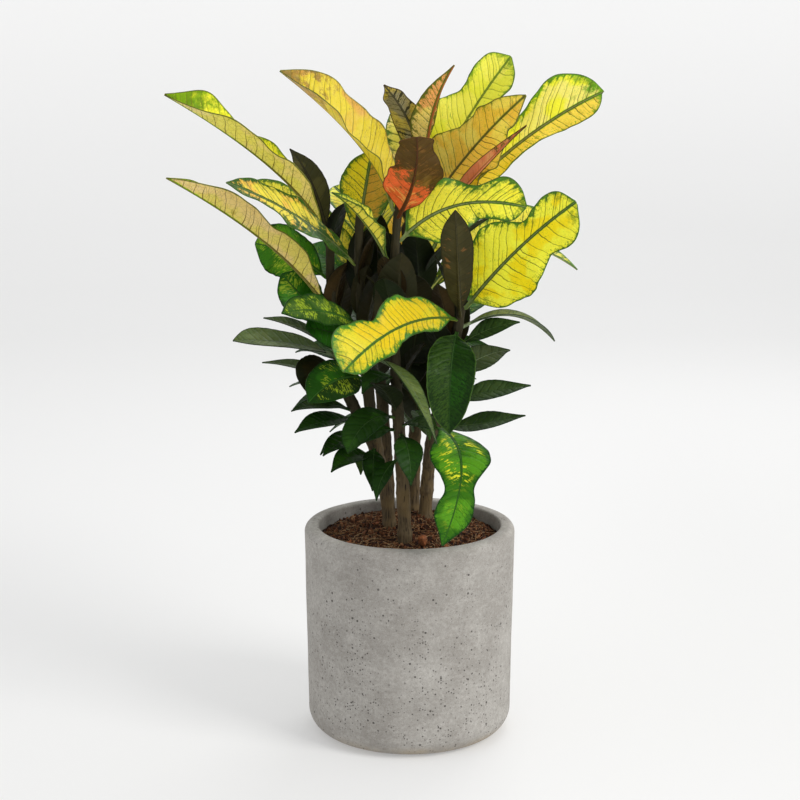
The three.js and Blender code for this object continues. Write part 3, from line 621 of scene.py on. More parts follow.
def bark():
    """Brown bark with lengthwise furrows and cracks, olive on the new upper wood and darkened there by
    painted shade.
    """
    material, tree = new_finish("furrowed bark")
    where = put(tree, "TexCoord").outputs["Object"]
    stretched = put(tree, "Mapping", {"Vector": where, "Scale": (1.0, 1.0, 0.07)}).outputs[0]
    furrows = cloud(tree, stretched, 620, 4, 0.7)
    patches = cloud(tree, where, 60, 3)
    colour = mingle(tree, rise(tree, furrows, 0.36, 0.62), paint(BARK_BROWN), paint(BARK_PALE))
    colour = mingle(tree, rise(tree, patches, 0.42, 0.66, 0.0, 0.7), colour, paint(BARK_WARM))
    cracks = rise(tree, cloud(tree, stretched, 800, 2), 0.38, 0.32)
    colour = mingle(tree, cracks, colour, paint(BARK_DARK))
    height = put(tree, "SeparateXYZ", {0: where}).outputs[2]
    # Higher up the bark turns olive and nearly black: partly its own colour, partly painted shade.
    young_and_shade = rise(tree, height, YOUNG_SHADE_FROM, YOUNG_SHADE_TO, 0.0, 0.88)
    colour = mingle(tree, young_and_shade, colour, paint(BARK_YOUNG_SHADED))
    relief = minus(tree, furrows, times(tree, cracks, 0.6))
    bump = put(tree, "Bump", {"Strength": 0.9, "Distance": 0.0009, "Height": relief})
    close_dull(tree, colour, 0.85, 0.25, bump)
    return material


BARK = bark()
for trunk, lines in TRUNKS.items():
    wood = make_wood(trunk, lines)
    wood.data.materials.append(BARK)
    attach(wood, "root")
    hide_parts(trunk)

# Gold leaves
# The broad leathery blades of the crown, bright yellow with a frayed green margin, a grey-green
# rib and thin dark veins. Each has a short stalk that grows out of the wood.

LEAF_THICK = 0.0008
LEAF_SOAK = 0.003  # how far light spreads inside a blade
LEAF_CREASE = math.radians(55)
RIB_THICK = 0.0026
KEEL_HALF = 0.0011  # half the breadth of the raised rib
PETIOLE = 0.0017  # half the stalk's breadth
PETIOLE_SHARE = 0.1
CAD_LEAF_THICK = 0.0010
CAD_RIB = 0.0014
CAD_GAP = 0.0003  # a solid leaf ends this far off its stem
SUNK = 0.0025  # a grown leaf starts this far inside it
TIP_HALF = 0.0003
RUFFLES, RUFFLE_OFFSET = 2.5, 2.0  # waves along a margin, and how far the other one is behind
FINE_RUFFLES = 6.2
NICK_SHARE = 0.018  # how far the outline strays by small nicks
LAG = 0.03  # one half of a leaf is a little ahead of the other
FOLD_SOFT = 0.004  # rounds the fold at the rib
CURL_START = 0.45
VEIN_BEND = 4.0  # how much the veins turn forwards on their way out
VEIN_THICK = (0.00078, 0.00042)  # half its breadth at the rib and at the margin
RIM = (0.0014, 0.0005)  # the dark edge fades in between these two depths
RIB_SHADOW = 0.95  # how dark the lines beside the rib are
UNDER_SHARE = 0.40  # how much of Back lies over an under face
BACK_LIKE_FACE = {"Under": 0.1}  # for a leaf whose back looks nearly like its face
MOTTLE_TINT = (0.84, 0.72, 0.36, 1)
DEEP_TINT = (0.42, 0.52, 0.40, 1)
WIDE_BLADE = 0.040  # wider blades get the finer grid
WIDE_ROWS, NARROW_ROWS, GROWN_ROWS, SMALL_ROWS = 84, 60, 44, 34
WIDE_COLUMNS = (0.03, 0.07, 0.13, 0.21, 0.31, 0.42, 0.53, 0.64, 0.74, 0.84, 0.93, 1.0)
NARROW_COLUMNS = (0.06, 0.14, 0.28, 0.45, 0.62, 0.8, 0.92, 1.0)
SMALL_COLUMNS = (0.09, 0.3, 0.62, 1.0)

# Half width along the leaf as (share of length, share of the leaf's half width).
FORMS = {
    "paddle": (
        (0, 0.05), (0.05, 0.07), (0.14, 0.42), (0.25, 0.76), (0.36, 0.96), (0.45, 1), (0.55, 0.82),
        (0.66, 0.56), (0.78, 0.56), (0.88, 0.58), (0.95, 0.44), (1, 0.04),
    ),
    "ovate": (
        (0, 0.05), (0.06, 0.1), (0.16, 0.62), (0.3, 0.98), (0.42, 1), (0.56, 0.84), (0.7, 0.62),
        (0.84, 0.5), (0.93, 0.26), (1, 0.03),
    ),
    "spoon": (
        (0, 0.05), (0.05, 0.08), (0.16, 0.36), (0.28, 0.72), (0.40, 1), (0.5, 0.98), (0.6, 0.66),
        (0.69, 0.48), (0.78, 0.6), (0.87, 0.6), (0.95, 0.26), (1, 0.03),
    ),
    "oblong": (
        (0, 0.05), (0.06, 0.08), (0.18, 0.6), (0.34, 0.94), (0.5, 1), (0.66, 0.93), (0.8, 0.76),
        (0.9, 0.5), (0.97, 0.17), (1, 0.03),
    ),
    "lance": (
        (0, 0.06), (0.1, 0.1), (0.22, 0.52), (0.38, 0.92), (0.5, 1), (0.65, 0.86), (0.8, 0.52),
        (0.92, 0.2), (1, 0.03),
    ),
    "obovate": (
        (0, 0.05), (0.06, 0.08), (0.18, 0.44), (0.34, 0.74), (0.5, 0.94), (0.63, 1), (0.76, 0.93),
        (0.88, 0.68), (0.96, 0.3), (1, 0.04),
    ),
    "spatula": (
        (0, 0.05), (0.05, 0.07), (0.14, 0.44), (0.26, 0.84), (0.37, 0.9), (0.5, 0.78), (0.6, 0.8),
        (0.72, 0.94), (0.84, 1), (0.92, 0.84), (0.97, 0.5), (1, 0.04),
    ),
    "strap": (
        (0, 0.06), (0.07, 0.1), (0.2, 0.56), (0.36, 0.84), (0.5, 0.92), (0.65, 1), (0.78, 0.96),
        (0.88, 0.72), (0.95, 0.36), (1, 0.03),
    ),
}

# How a blade is coloured. Colours are sRGB, widths are in metres, and shares run from 0 to 1.
# Second drifts over Field by Patches, and Half colours one half (Half Side 1 or -1). Green lies
# along the margin, the rib and the veins, in speckles, and from Root and Tip inwards. Veins
# leave the rib at every Pitch and sweep forwards. Back is laid over an under face.
PLAIN_LOOK = {
    "Field": "e9d420", "Second": "f3e445", "Patches": 0.45, "Mottle": 0.30, "Dapple": 0.7,
    "Half": "e9d420", "Half Side": 0.0,
    "Green": "4c7d1e", "Margin": 0.0015, "Rib Wash": 0.0004, "Vein Wash": 0.0,
    "Uneven": 0.0, "Speckle": 0.12, "Pepper": 0.5,
    "Root": 0.06, "Slant": 0.0, "Tip": 0.02, "Blend": 0.16,
    "Fleck": "e6dc3a", "Flecks": 0.0, "Fleck Scale": 520.0, "Fleck Reach": 2.0,
    "Fleck Inset": 0.005,
    "Vein": "46561a", "Veins": 0.9, "Pitch": 0.0100, "Sweep": 0.6, "Sweep Side": 0.0, "Net": 0.1,
    "Rib": "869458", "Rib Width": 0.0020, "Edge": "3d5a1c",
    "Back": "ccc45c", "Under": 0.0,
    "Sheen": 0.25, "Through": 0.9, "Quilt": 0.0005,
}
SKIN = ("Sheen", "Through", "Quilt")  # these go to the shader, the others to the pattern


def unit(v):
    return v / np.linalg.norm(v, axis=-1, keepdims=True)


def half_width(form, share):
    """The outline's half width at a share of the length, by smooth curves through its points."""
    points = np.array(FORMS[form], float)
    share = np.clip(share, 0.0, 1.0)
    k = np.clip(np.searchsorted(points[:, 0], share), 1, len(points) - 1)
    a, b = points[k - 1], points[k]
    before, after = points[np.maximum(k - 2, 0)], points[np.minimum(k + 1, len(points) - 1)]
    span = b[..., 0] - a[..., 0]
    u = (share - a[..., 0]) / span
    slope_a = (b[..., 1] - before[..., 1]) / (b[..., 0] - before[..., 0]) * span
    slope_b = (after[..., 1] - a[..., 1]) / (after[..., 0] - a[..., 0]) * span
    return ((2 * u ** 3 - 3 * u ** 2 + 1) * a[..., 1] + (u ** 3 - 2 * u ** 2 + u) * slope_a
            + (3 * u ** 2 - 2 * u ** 3) * b[..., 1] + (u ** 3 - u ** 2) * slope_b)


class Rib:
    """The curve from the stem to the tip, and the directions across it and out of the blade."""

    def __init__(self, stem, at, tip, arch, crest, sway, heading, roll, twist, curl, fold, grown):
        self.on_stem, self.tip = point_on_stem(stem, at), np.array(tip, float)
        self.roll, self.twist, self.curl = roll, twist, curl
        if heading is None:
            away = unit(np.array([self.tip[0] - self.on_stem[0], self.tip[1] - self.on_stem[1], 0.0]))
        else:
            away = np.array([math.cos(math.radians(heading)), math.sin(math.radians(heading)), 0.0])
        self.side = np.cross(away, (0.0, 0.0, 1.0))
        radius = stem_radius(at)
        clear = -SUNK
        if not grown:
            self.bend_from(self.on_stem + away * radius, arch, crest, sway)
            out, normal = self.axes(np.array([0.0]))
            lean = float(normal[0] @ away)
            above = CAD_LEAF_THICK / 2 + PETIOLE * math.sin(math.radians(fold))
            below = CAD_LEAF_THICK / 2 + CAD_RIB
            reach = PETIOLE * abs(float(out[0] @ away)) + max(-lean * above, lean * below)
            clear = CAD_GAP + reach
        self.bend_from(self.on_stem + away * (radius + clear), arch, crest, sway)

    def bend_from(self, root, arch, crest, sway):
        lift = unit(np.cross(self.side, self.tip - root))
        self.root = root
        self.bend = root + (self.tip - root) * crest + lift * 2 * arch + self.side * 2 * sway

    def points(self, s):
        s = s[:, None]
        return (1 - s) ** 2 * self.root + 2 * s * (1 - s) * self.bend + s ** 2 * self.tip

    def axes(self, s):
        k = s[:, None]
        along = unit(2 * (1 - k) * (self.bend - self.root) + 2 * k * (self.tip - self.bend))
        flat = unit(self.side - along * (along @ self.side)[:, None])
        up = np.cross(flat, along)
        outer = np.clip((k - CURL_START) / (1 - CURL_START), 0, 1)
        turn = np.radians(self.roll + self.twist * k + self.curl * outer ** 2)
        return flat * np.cos(turn) + up * np.sin(turn), up * np.cos(turn) - flat * np.sin(turn)


def stalk_points(rib, shares):
    """Places from inside the wood to the root, so that the stalk grows out of the stem."""
    inside = rib.on_stem + (0, 0, -0.002)
    along = unit(rib.bend - rib.root)
    knee = rib.root - along * 0.003
    k = np.array(shares)[:, None]
    return (1 - k) ** 2 * inside + 2 * k * (1 - k) * knee + k ** 2 * rib.root


def make_blade(name, rib, width, form, fold, cup, wave, lobes, finishes, rows, columns, seed):
    """A grid laid along the rib and shaped to the outline, then given its thickness.

    Each lobe is (side, share of the length, reach, part of the half width that it adds).
    """
    t = np.array([-c for c in reversed(columns)] + [0.0] + list(columns))
    even = np.linspace(0, 1, rows)
    s = 0.55 * even + 0.45 * (0.5 - 0.5 * np.cos(math.pi * even))
    stalk = (0.0, 0.4, 0.75)
    spine = np.concatenate([stalk_points(rib, stalk), rib.points(s)])
    s = np.concatenate([np.zeros(len(stalk)), s])
    out, normal = rib.axes(s)
    start_alone()
    bpy.ops.mesh.primitive_grid_add(x_subdivisions=len(t) - 1, y_subdivisions=len(s) - 1)
    blade = bpy.context.object
    blade.name = name
    S, T = np.meshgrid(s, t, indexing="ij")
    belly = np.sin(math.pi * S)
    shifted = S + np.sign(T) * LAG * np.sin(2 * math.pi * S) * belly
    least = np.where(S < PETIOLE_SHARE, PETIOLE, TIP_HALF)
    half = np.maximum(least, width / 2 * half_width(form, shifted))
    nicks = np.sin(S * 47 + seed) * np.sin(S * 29 + seed * 3 + np.sign(T))
    half *= 1 + NICK_SHARE * nicks * belly
    for lobe_half, at, reach, bulge in lobes:
        lobe = bulge * width / 2 * np.exp(-((S - at) / reach) ** 2)
        half += np.where(T * lobe_half > 0, lobe, 0.0)
    half = np.maximum(least, half)
    phase = 2 * math.pi * RUFFLES * S + np.where(T > 0, 0.0, RUFFLE_OFFSET)
    fine = np.sin(2 * math.pi * FINE_RUFFLES * S + seed * 2.1 + np.sign(T))
    ruffle = wave * T ** 2 * belly * (np.sin(phase) + 0.3 * np.abs(T) * fine)
    lean = math.radians(fold)
    soft = np.sqrt(T ** 2 + FOLD_SOFT) - math.sqrt(FOLD_SOFT)
    across = half * T * math.cos(lean)
    above = half * soft * math.sin(lean) - cup * half * T ** 2 + ruffle + LEAF_THICK / 2
    co = spine[:, None] + out[:, None] * across[..., None] + normal[:, None] * above[..., None]
    blade.data.vertices.foreach_set("co", co.astype(np.float32).ravel())
    length = np.concatenate([[0.0], np.cumsum(np.linalg.norm(np.diff(spine, axis=0), axis=1))])
    signed = half * T
    store(blade.data, "blade", signed, np.repeat(length[:, None], len(t), 1), half * (1 - np.abs(T)))
    store(blade.data, "place", T, S, np.full_like(S, seed))
    for finish in finishes:
        blade.data.materials.append(finish)
    thicken(blade, s, t, half)
    return blade


def store(mesh, name, *parts):
    """Keeps three measures of every point with the mesh, for the pattern to read."""
    values = np.stack([p.ravel() for p in parts], axis=1).astype(np.float32)
    mesh.attributes.new(name, "FLOAT_VECTOR", "POINT").data.foreach_set("vector", values.ravel())


def thicken(blade, s, t, half):
    """The blade is thin, and the rib and stalk stand out below it."""
    S, T = np.meshgrid(s, t, indexing="ij")
    keel = np.exp(-(half * T / KEEL_HALF) ** 2) * (1 - 0.75 * S)
    stalk = np.clip((0.09 - S) / 0.05, 0, 1) * np.sqrt(1 - 0.9 * T ** 2)
    share = LEAF_THICK / RIB_THICK
    weight = np.maximum(share + (1 - share) * keel, stalk).ravel()
    group = blade.vertex_groups.new(name="thickness")
    for k, value in enumerate(weight):
        group.add([k], float(value), "REPLACE")
    solid = blade.modifiers.new("thickness", "SOLIDIFY")
    solid.thickness = RIB_THICK
    solid.offset = -1
    solid.vertex_group = "thickness"
    solid.material_offset = 1
    pick(blade)
    bpy.ops.object.modifier_apply(modifier="thickness")
    bpy.ops.object.shade_smooth_by_angle(angle=LEAF_CREASE)


def blade_spot(tree):
    """Where a point lies: in metres from the rib, the root and the margin, and as shares."""
    metres = put(tree, "Attribute", attribute_name="blade").outputs["Vector"]
    shares = put(tree, "Attribute", attribute_name="place").outputs["Vector"]
    spot = SimpleNamespace()
    spot.across, spot.along, spot.edge = put(tree, "SeparateXYZ", {0: metres}).outputs
    spot.t, spot.s, spot.seed = put(tree, "SeparateXYZ", {0: shares}).outputs
    spot.reach = maths(tree, "ABSOLUTE", spot.across)
    spot.wide = maths(tree, "ABSOLUTE", spot.t)
    spot.side = maths(tree, "SIGN", spot.across)
    depth = times(tree, spot.seed, 0.37)
    spot.where = put(tree, "CombineXYZ", {0: spot.across, 1: spot.along, 2: depth}).outputs[0]
    spot.fray = rise(tree, cloud(tree, spot.where, 190, 4, 0.7), 0.32, 0.68)
    return spot


def cross_lines(tree, spot, turns, pitch, thick):
    """Lines across a half blade: their strength, how far off they are, and each one's chance."""
    number = plus(tree, maths(tree, "FLOOR", turns), times(tree, spot.side, 57.3))
    chance, draw = put(tree, "TexWhiteNoise", {"W": number}, noise_dimensions="1D").outputs
    centre = rise(tree, put(tree, "SeparateColor", {0: draw}).outputs[1], 0.0, 1.0, 0.28, 0.72)
    off = maths(tree, "ABSOLUTE", minus(tree, maths(tree, "FRACT", turns), centre))
    away = times(tree, off, pitch)
    line = rise(tree, away, thick, times(tree, thick, 0.35))
    return SimpleNamespace(line=line, away=away, off=off, chance=chance)


def leaf_veins(tree, look, spot):
    """Main veins that sweep outwards and forwards from the rib, and short thin ones between."""
    slope = plus(tree, look["Sweep"], times(tree, spot.side, look["Sweep Side"]))
    slope = plus(tree, slope, times(tree, spot.reach, VEIN_BEND))
    spot.origin = minus(tree, spot.along, times(tree, spot.reach, slope))
    stray = times(tree, minus(tree, cloud(tree, spot.where, 42, 1), 0.5), 0.8)
    shake = times(tree, minus(tree, cloud(tree, spot.where, 260, 2), 0.5), 0.14)
    count = maths(tree, "DIVIDE", spot.origin, look["Pitch"])
    turns = plus(tree, count, stray, shake, times(tree, spot.side, 0.21), spot.seed)
    thick = rise(tree, spot.wide, 0.0, 1.0, *VEIN_THICK)
    spot.main = cross_lines(tree, spot, turns, look["Pitch"], thick)
    fine = cross_lines(tree, spot, plus(tree, turns, 0.5), look["Pitch"], times(tree, thick, 0.72))
    main = times(tree, spot.main.line, rise(tree, spot.main.chance, 0.0, 0.5, 0.7, 1.0))
    beyond = minus(tree, spot.wide, rise(tree, fine.chance, 0.4, 1.0, 0.0, 0.9))
    between = times(tree, fine.line, rise(tree, beyond, 0.1, -0.1), 0.7)
    fading = rise(tree, spot.edge, 0.0004, 0.004, 0.4, 1.0)
    return times(tree, larger(tree, main, between), fading, look["Veins"])


def green_share(tree, look, spot):
    """Green at the margin, the rib and the veins, in speckles, and towards the root and tip."""
    uneven = plus(tree, 1.0, times(tree, spot.side, look["Uneven"]))
    tooth = rise(tree, spot.main.away, 0.0024, 0.0, 0.25, 1.6)
    margin = times(tree, look["Margin"], uneven, plus(tree, times(tree, spot.fray, 1.6), tooth))
    spot.margins_off = maths(tree, "DIVIDE", spot.edge, larger(tree, margin, 0.0001))
    green = rise(tree, spot.margins_off, 1.5, 0.6)
    washed = times(tree, look["Rib Wash"], plus(tree, spot.fray, 0.5))
    from_rib = minus(tree, spot.reach, times(tree, look["Rib Width"], 0.5))
    beside = rise(tree, minus(tree, from_rib, washed), 0.0006, 0.0)
    green = larger(tree, green, times(tree, beside, rise(tree, look["Rib Wash"], 0.0, 0.0002)))
    bleed = times(tree, look["Vein Wash"], spot.fray, 2.0)
    bled = rise(tree, minus(tree, spot.main.away, bleed), 0.0004, 0.0)
    bled = times(tree, bled, rise(tree, look["Vein Wash"], 0.0, 0.0004))
    bled = times(tree, bled, rise(tree, spot.main.chance, 0.2, 0.8))
    drift = rise(tree, cloud(tree, spot.where, 55, 2), 0.35, 0.65, -0.10, 0.10)
    often = plus(tree, look["Speckle"], drift, rise(tree, spot.edge, 0.010, 0.0, 0.0, 0.22))
    often = minus(tree, 1.0, times(tree, often, rise(tree, look["Speckle"], 0.0, 0.02)))
    speck = rise(tree, cloud(tree, spot.streaks, 900, 3, 0.7), 0.28, 0.72)
    speckles = times(tree, rise(tree, minus(tree, speck, often), -0.03, 0.05), 0.85)
    blot = minus(tree, rise(tree, cloud(tree, spot.where, 80, 5, 0.75), 0.3, 0.7), 0.5)
    ragged = plus(tree, spot.s, times(tree, blot, look["Blend"]))
    tipward = plus(tree, ragged, look["Tip"], -1.0)
    rootward = minus(tree, look["Root"], minus(tree, ragged, times(tree, spot.t, look["Slant"])))
    at_tip = times(tree, rise(tree, tipward, -0.07, 0.07), rise(tree, look["Tip"], 0.0, 0.01))
    at_root = times(tree, rise(tree, rootward, -0.07, 0.07), rise(tree, look["Root"], 0.0, 0.01))
    ends = larger(tree, at_tip, at_root)
    return larger(tree, green, bled, speckles, ends)


def fleck_share(tree, look, spot):
    """Pale flecks in bunches, drawn out along the veins."""
    streak = rise(tree, cloud(tree, spot.streaks, look["Fleck Scale"], 4, 0.7), 0.3, 0.7)
    bunch = rise(tree, cloud(tree, spot.where, 46, 2), 0.36, 0.64, -0.35, 0.30)
    wanted = minus(tree, 1.0, plus(tree, look["Flecks"], bunch))
    flecks = rise(tree, minus(tree, streak, wanted), -0.04, 0.22)
    beyond = rise(tree, spot.s, look["Fleck Reach"], plus(tree, look["Fleck Reach"], 0.06), 1.0, 0.12)
    inset = look["Fleck Inset"]
    inside = rise(tree, spot.edge, times(tree, inset, 0.3), inset)
    return times(tree, flecks, rise(tree, look["Flecks"], 0.0, 0.05), inside, beyond)


def field_colour(tree, look, spot):
    """The colour between the veins: two shades that drift, and another one on one half."""
    broad = rise(tree, cloud(tree, spot.where, 30, 2), 0.32, 0.68)
    outward = rise(tree, spot.edge, 0.013, 0.002, 0.0, 0.45)
    patch = rise(tree, plus(tree, broad, look["Patches"], outward), 0.85, 1.25)
    colour = mingle(tree, patch, look["Field"], look["Second"])
    other_half = rise(tree, times(tree, spot.across, look["Half Side"]), 0.0001, 0.0014)
    colour = mingle(tree, other_half, colour, look["Half"])
    mottle = rise(tree, cloud(tree, spot.where, 240, 5, 0.75), 0.3, 0.7, 0.0, look["Mottle"])
    darker = mingle(tree, 1.0, colour, MOTTLE_TINT, "MULTIPLY")
    colour = mingle(tree, mottle, colour, darker)
    halo = rise(tree, spot.margins_off, 3.4, 0.8, 0.0, 0.45)
    return mingle(tree, times(tree, halo, spot.fray), colour, look["Green"])


def rib_colour(tree, look, spot, colour):
    """The rib: a pale ridge between two dark lines, thinner towards the tip."""
    taper = times(tree, look["Rib Width"], rise(tree, spot.s, 0.0, 1.0, 1.0, 0.3))
    ridge = rise(tree, spot.reach, times(tree, taper, 0.75), times(tree, taper, 0.35))
    stalk = rise(tree, spot.s, 0.075, 0.05)
    borders = rise(tree, spot.reach, times(tree, taper, 1.25), times(tree, taper, 0.85))
    colour = mingle(tree, times(tree, borders, RIB_SHADOW), colour, look["Vein"])
    worn = rise(tree, cloud(tree, spot.where, 240, 3, 0.7), 0.3, 0.6, 0.45, 1.0)
    spot.rib = larger(tree, times(tree, ridge, worn), stalk)
    return mingle(tree, spot.rib, colour, look["Rib"])


def blade_pattern():
    """The group that colours every blade, from a point's place across and along it."""
    tree = bpy.data.node_groups.new("croton blade", "ShaderNodeTree")
    for name in (n for n in PLAIN_LOOK if n not in SKIN):
        kind = "NodeSocketColor" if isinstance(PLAIN_LOOK[name], str) else "NodeSocketFloat"
        tree.interface.new_socket(name, in_out="INPUT", socket_type=kind)
    for name, kind in (("Colour", "Color"), ("Height", "Float"), ("Roughness", "Float")):
        tree.interface.new_socket(name, in_out="OUTPUT", socket_type="NodeSocket" + kind)
    look = tree.nodes.new("NodeGroupInput").outputs
    end = tree.nodes.new("NodeGroupOutput")
    spot = blade_spot(tree)
    veins = leaf_veins(tree, look, spot)
    spot.streaks = put(tree, "CombineXYZ", {
        0: times(tree, spot.across, 0.42), 1: spot.origin, 2: times(tree, spot.seed, 0.53),
    }).outputs[0]
    green = green_share(tree, look, spot)
    colour = field_colour(tree, look, spot)
    deep = mingle(tree, 1.0, look["Green"], DEEP_TINT, "MULTIPLY")
    dapple = rise(tree, cloud(tree, spot.where, 90, 4, 0.7), 0.35, 0.65, 0.0, look["Dapple"])
    colour = mingle(tree, green, colour, mingle(tree, dapple, look["Green"], deep))
    colour = mingle(tree, fleck_share(tree, look, spot), colour, look["Fleck"])
    net_inputs = {"Vector": spot.where, "Scale": 190.0}
    net = put(tree, "TexVoronoi", net_inputs, feature="DISTANCE_TO_EDGE").outputs["Distance"]
    colour = mingle(tree, times(tree, rise(tree, net, 0.05, 0.015), look["Net"]), colour, look["Vein"])
    pepper = rise(tree, cloud(tree, spot.streaks, 1300, 2, 0.6), 0.60, 0.68)
    pepper = times(tree, pepper, rise(tree, spot.edge, 0.012, 0.001, 0.0, 1.0), look["Pepper"])
    colour = mingle(tree, pepper, colour, look["Vein"])
    colour = mingle(tree, veins, colour, look["Vein"])
    colour = rib_colour(tree, look, spot, colour)
    rim = times(tree, rise(tree, spot.edge, *RIM, 0.0, 0.9), rise(tree, spot.s, 0.05, 0.08))
    colour = mingle(tree, rim, colour, look["Edge"])
    colour = mingle(tree, times(tree, look["Under"], UNDER_SHARE), colour, look["Back"])
    tree.links.new(colour, end.inputs["Colour"])

    swell = rise(tree, spot.main.off, 0.0, 0.28, 0.0, 0.8)
    grain = times(tree, cloud(tree, spot.where, 420, 3), 0.35)
    relief = plus(tree, minus(tree, swell, times(tree, veins, 0.5)), times(tree, spot.rib, 0.9), grain)
    tree.links.new(relief, end.inputs["Height"])
    tree.links.new(rise(tree, cloud(tree, spot.where, 240, 3), 0.3, 0.7, 0.40, 0.58), end.inputs["Roughness"])
    return tree


BLADE_PATTERN = blade_pattern()
BLADE_FINISHES = {}


def blade_finish(kind, look):
    """The material of one face of a blade. Faces that look alike share it."""
    key = tuple(sorted(look.items()))
    if key in BLADE_FINISHES:
        return BLADE_FINISHES[key]
    material, tree = new_finish("%s blade %d" % (kind, len(BLADE_FINISHES) + 1))
    pattern = tree.nodes.new("ShaderNodeGroup")
    pattern.node_tree = BLADE_PATTERN
    for name, value in look.items():
        if name not in SKIN:
            pattern.inputs[name].default_value = paint(value) if isinstance(value, str) else value
    colour, height, rough = pattern.outputs
    bump = put(tree, "Bump", {"Strength": 0.5, "Distance": look["Quilt"], "Height": height})
    close_finish(tree, put(tree, "BsdfPrincipled", {
        "Base Color": colour, "Roughness": rough, "Normal": bump.outputs[0],
        "Specular IOR Level": look["Sheen"], "Subsurface Weight": look["Through"],
        "Subsurface Radius": (1.0, 1.0, 0.35), "Subsurface Scale": LEAF_SOAK,
    }))
    BLADE_FINISHES[key] = material
    return material


def two_faces(kind, look, under=None):
    """The finishes of a leaf's upper and under faces."""
    upper = {**PLAIN_LOOK, **look}
    return blade_finish(kind, upper), blade_finish(kind, {**upper, "Under": 1.0, **(under or {})})


LEAF_COUNT = 0


def shaped_leaf(name, finishes, stem, at, tip, width, form="lance", arch=0.0, crest=0.5, sway=0.0,
                heading=None, roll=0, twist=0, fold=0, cup=0.0, wave=0.0, curl=0, lobes=(),
                grown=False, rows=None, columns=None):
    """A leaf of its row's form. The rows repeat those of the solid leaves."""
    global LEAF_COUNT
    LEAF_COUNT += 1
    seed = (LEAF_COUNT * 0.618) % 1 * 9
    rib = Rib(stem, at, tip, arch, crest, sway, heading, roll, twist, curl, fold, grown)
    wide = width >= WIDE_BLADE
    rows = rows or (WIDE_ROWS if wide else NARROW_ROWS)
    columns = columns or (WIDE_COLUMNS if wide else NARROW_COLUMNS)
    return make_blade(name, rib, width, form, fold, cup, wave, lobes, finishes, rows, columns, seed)


def leaf(node, slot, look, *row, under=None, **shape):
    """A large leaf: it replaces its solid, and its upper and lower faces have their own finish."""
    faces = two_faces(slot.removeprefix("leaf_"), look, under)
    blade = shaped_leaf(node + "_blade", faces, *row, **shape)
    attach(blade, "root")
    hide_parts(node)


GOLD = {"Field": "f3d914", "Second": "f3ee48", "Green": "4a821c", "Edge": "2a4a14", "Vein": "3e4c12"}

leaf("leaf_hero", "leaf_gold",
     {**GOLD, "Margin": 0.0018, "Uneven": -0.45, "Root": 0.09, "Speckle": 0.09, "Sweep": 0.72,
      "Sweep Side": -0.32, "Pitch": 0.0125, "Rib": "74864c", "Pepper": 0.8},
     "right", 0.455, (0.159, -0.096, 0.568), 0.080, "paddle",
     arch=0.006, roll=-92, fold=8, wave=0.004,
     lobes=((1, 0.18, 0.08, 0.14), (1, 0.50, 0.14, 0.14), (1, 0.82, 0.14, 0.24),
            (-1, 0.22, 0.10, 0.10), (-1, 0.68, 0.10, -0.12)))
leaf("leaf_front_gold", "leaf_gold",
     {**GOLD, "Field": "e4c414", "Second": "dccd2a", "Patches": 0.2, "Green": "478a1e", "Margin": 0.0028,
      "Rib": "48681e", "Rib Width": 0.0013, "Rib Wash": 0.0005, "Speckle": 0.05, "Vein": "3e4c0e",
      "Veins": 0.75, "Pitch": 0.0096, "Root": 0.12, "Tip": 0.05, "Sweep": 0.62, "Sweep Side": -0.30},
     "right", 0.442, (-0.063, -0.170, 0.416), 0.060, "spatula",
     arch=0.018, roll=46, fold=10, wave=0.005,
     lobes=((1, 0.46, 0.12, 0.22), (1, 0.63, 0.05, -0.20), (1, 0.90, 0.09, 0.14),
            (-1, 0.45, 0.25, -0.34), (-1, 0.85, 0.12, -0.40)))
leaf("leaf_right_mid", "leaf_gold",
     {**GOLD, "Field": "f6ea44", "Margin": 0.0030, "Uneven": -0.3, "Root": 0.14, "Speckle": 0.15,
      "Rib": "7f8e56", "Sweep": 0.72, "Sweep Side": -0.30, "Pitch": 0.0110},
     "front", 0.524, (0.115, -0.044, 0.557), 0.062, "paddle",
     arch=0.019, crest=0.45, roll=-76, fold=8, wave=0.004,
     lobes=((-1, 0.22, 0.10, 0.22), (-1, 0.44, 0.05, -0.06), (-1, 0.85, 0.10, 0.26),
            (1, 0.24, 0.10, 0.16)))
leaf("leaf_top_gold", "leaf_gold",
     {**GOLD, "Field": "f4f06e", "Second": "e8ec58", "Green": "86ac2c", "Margin": 0.0014, "Veins": 0.75,
      "Vein": "6c7a26", "Speckle": 0.05, "Sweep": 0.7, "Sweep Side": -0.25, "Rib": "98a548",
      "Rib Width": 0.0012},
     "centre", 0.572, (0.101, 0.010, 0.702), 0.080, "paddle",
     arch=0.004, roll=-82, fold=24, wave=0.004, lobes=((-1, 0.30, 0.08, 0.08), (1, 0.86, 0.08, 0.10)))
leaf("leaf_right_top", "leaf_gold",
     {**GOLD, "Field": "f6e88a", "Half": "ffd660", "Half Side": 1.0, "Green": "66a01e", "Rib": "8c8c5c",
      "Rib Width": 0.0022, "Tip": 0.07, "Speckle": 0.04, "Margin": 0.0014, "Uneven": -0.7, "Vein": "5c601e",
      "Sweep": 0.7, "Sweep Side": -0.25},
     "centre", 0.524, (0.193, -0.006, 0.668), 0.060, "spatula",
     arch=0.012, crest=0.6, roll=-84, fold=5, wave=0.005,
     lobes=((1, 0.60, 0.45, -0.42), (1, 0.30, 0.12, -0.16), (1, 0.86, 0.10, -0.10),
            (-1, 0.34, 0.06, -0.12), (-1, 0.80, 0.10, 0.22)))
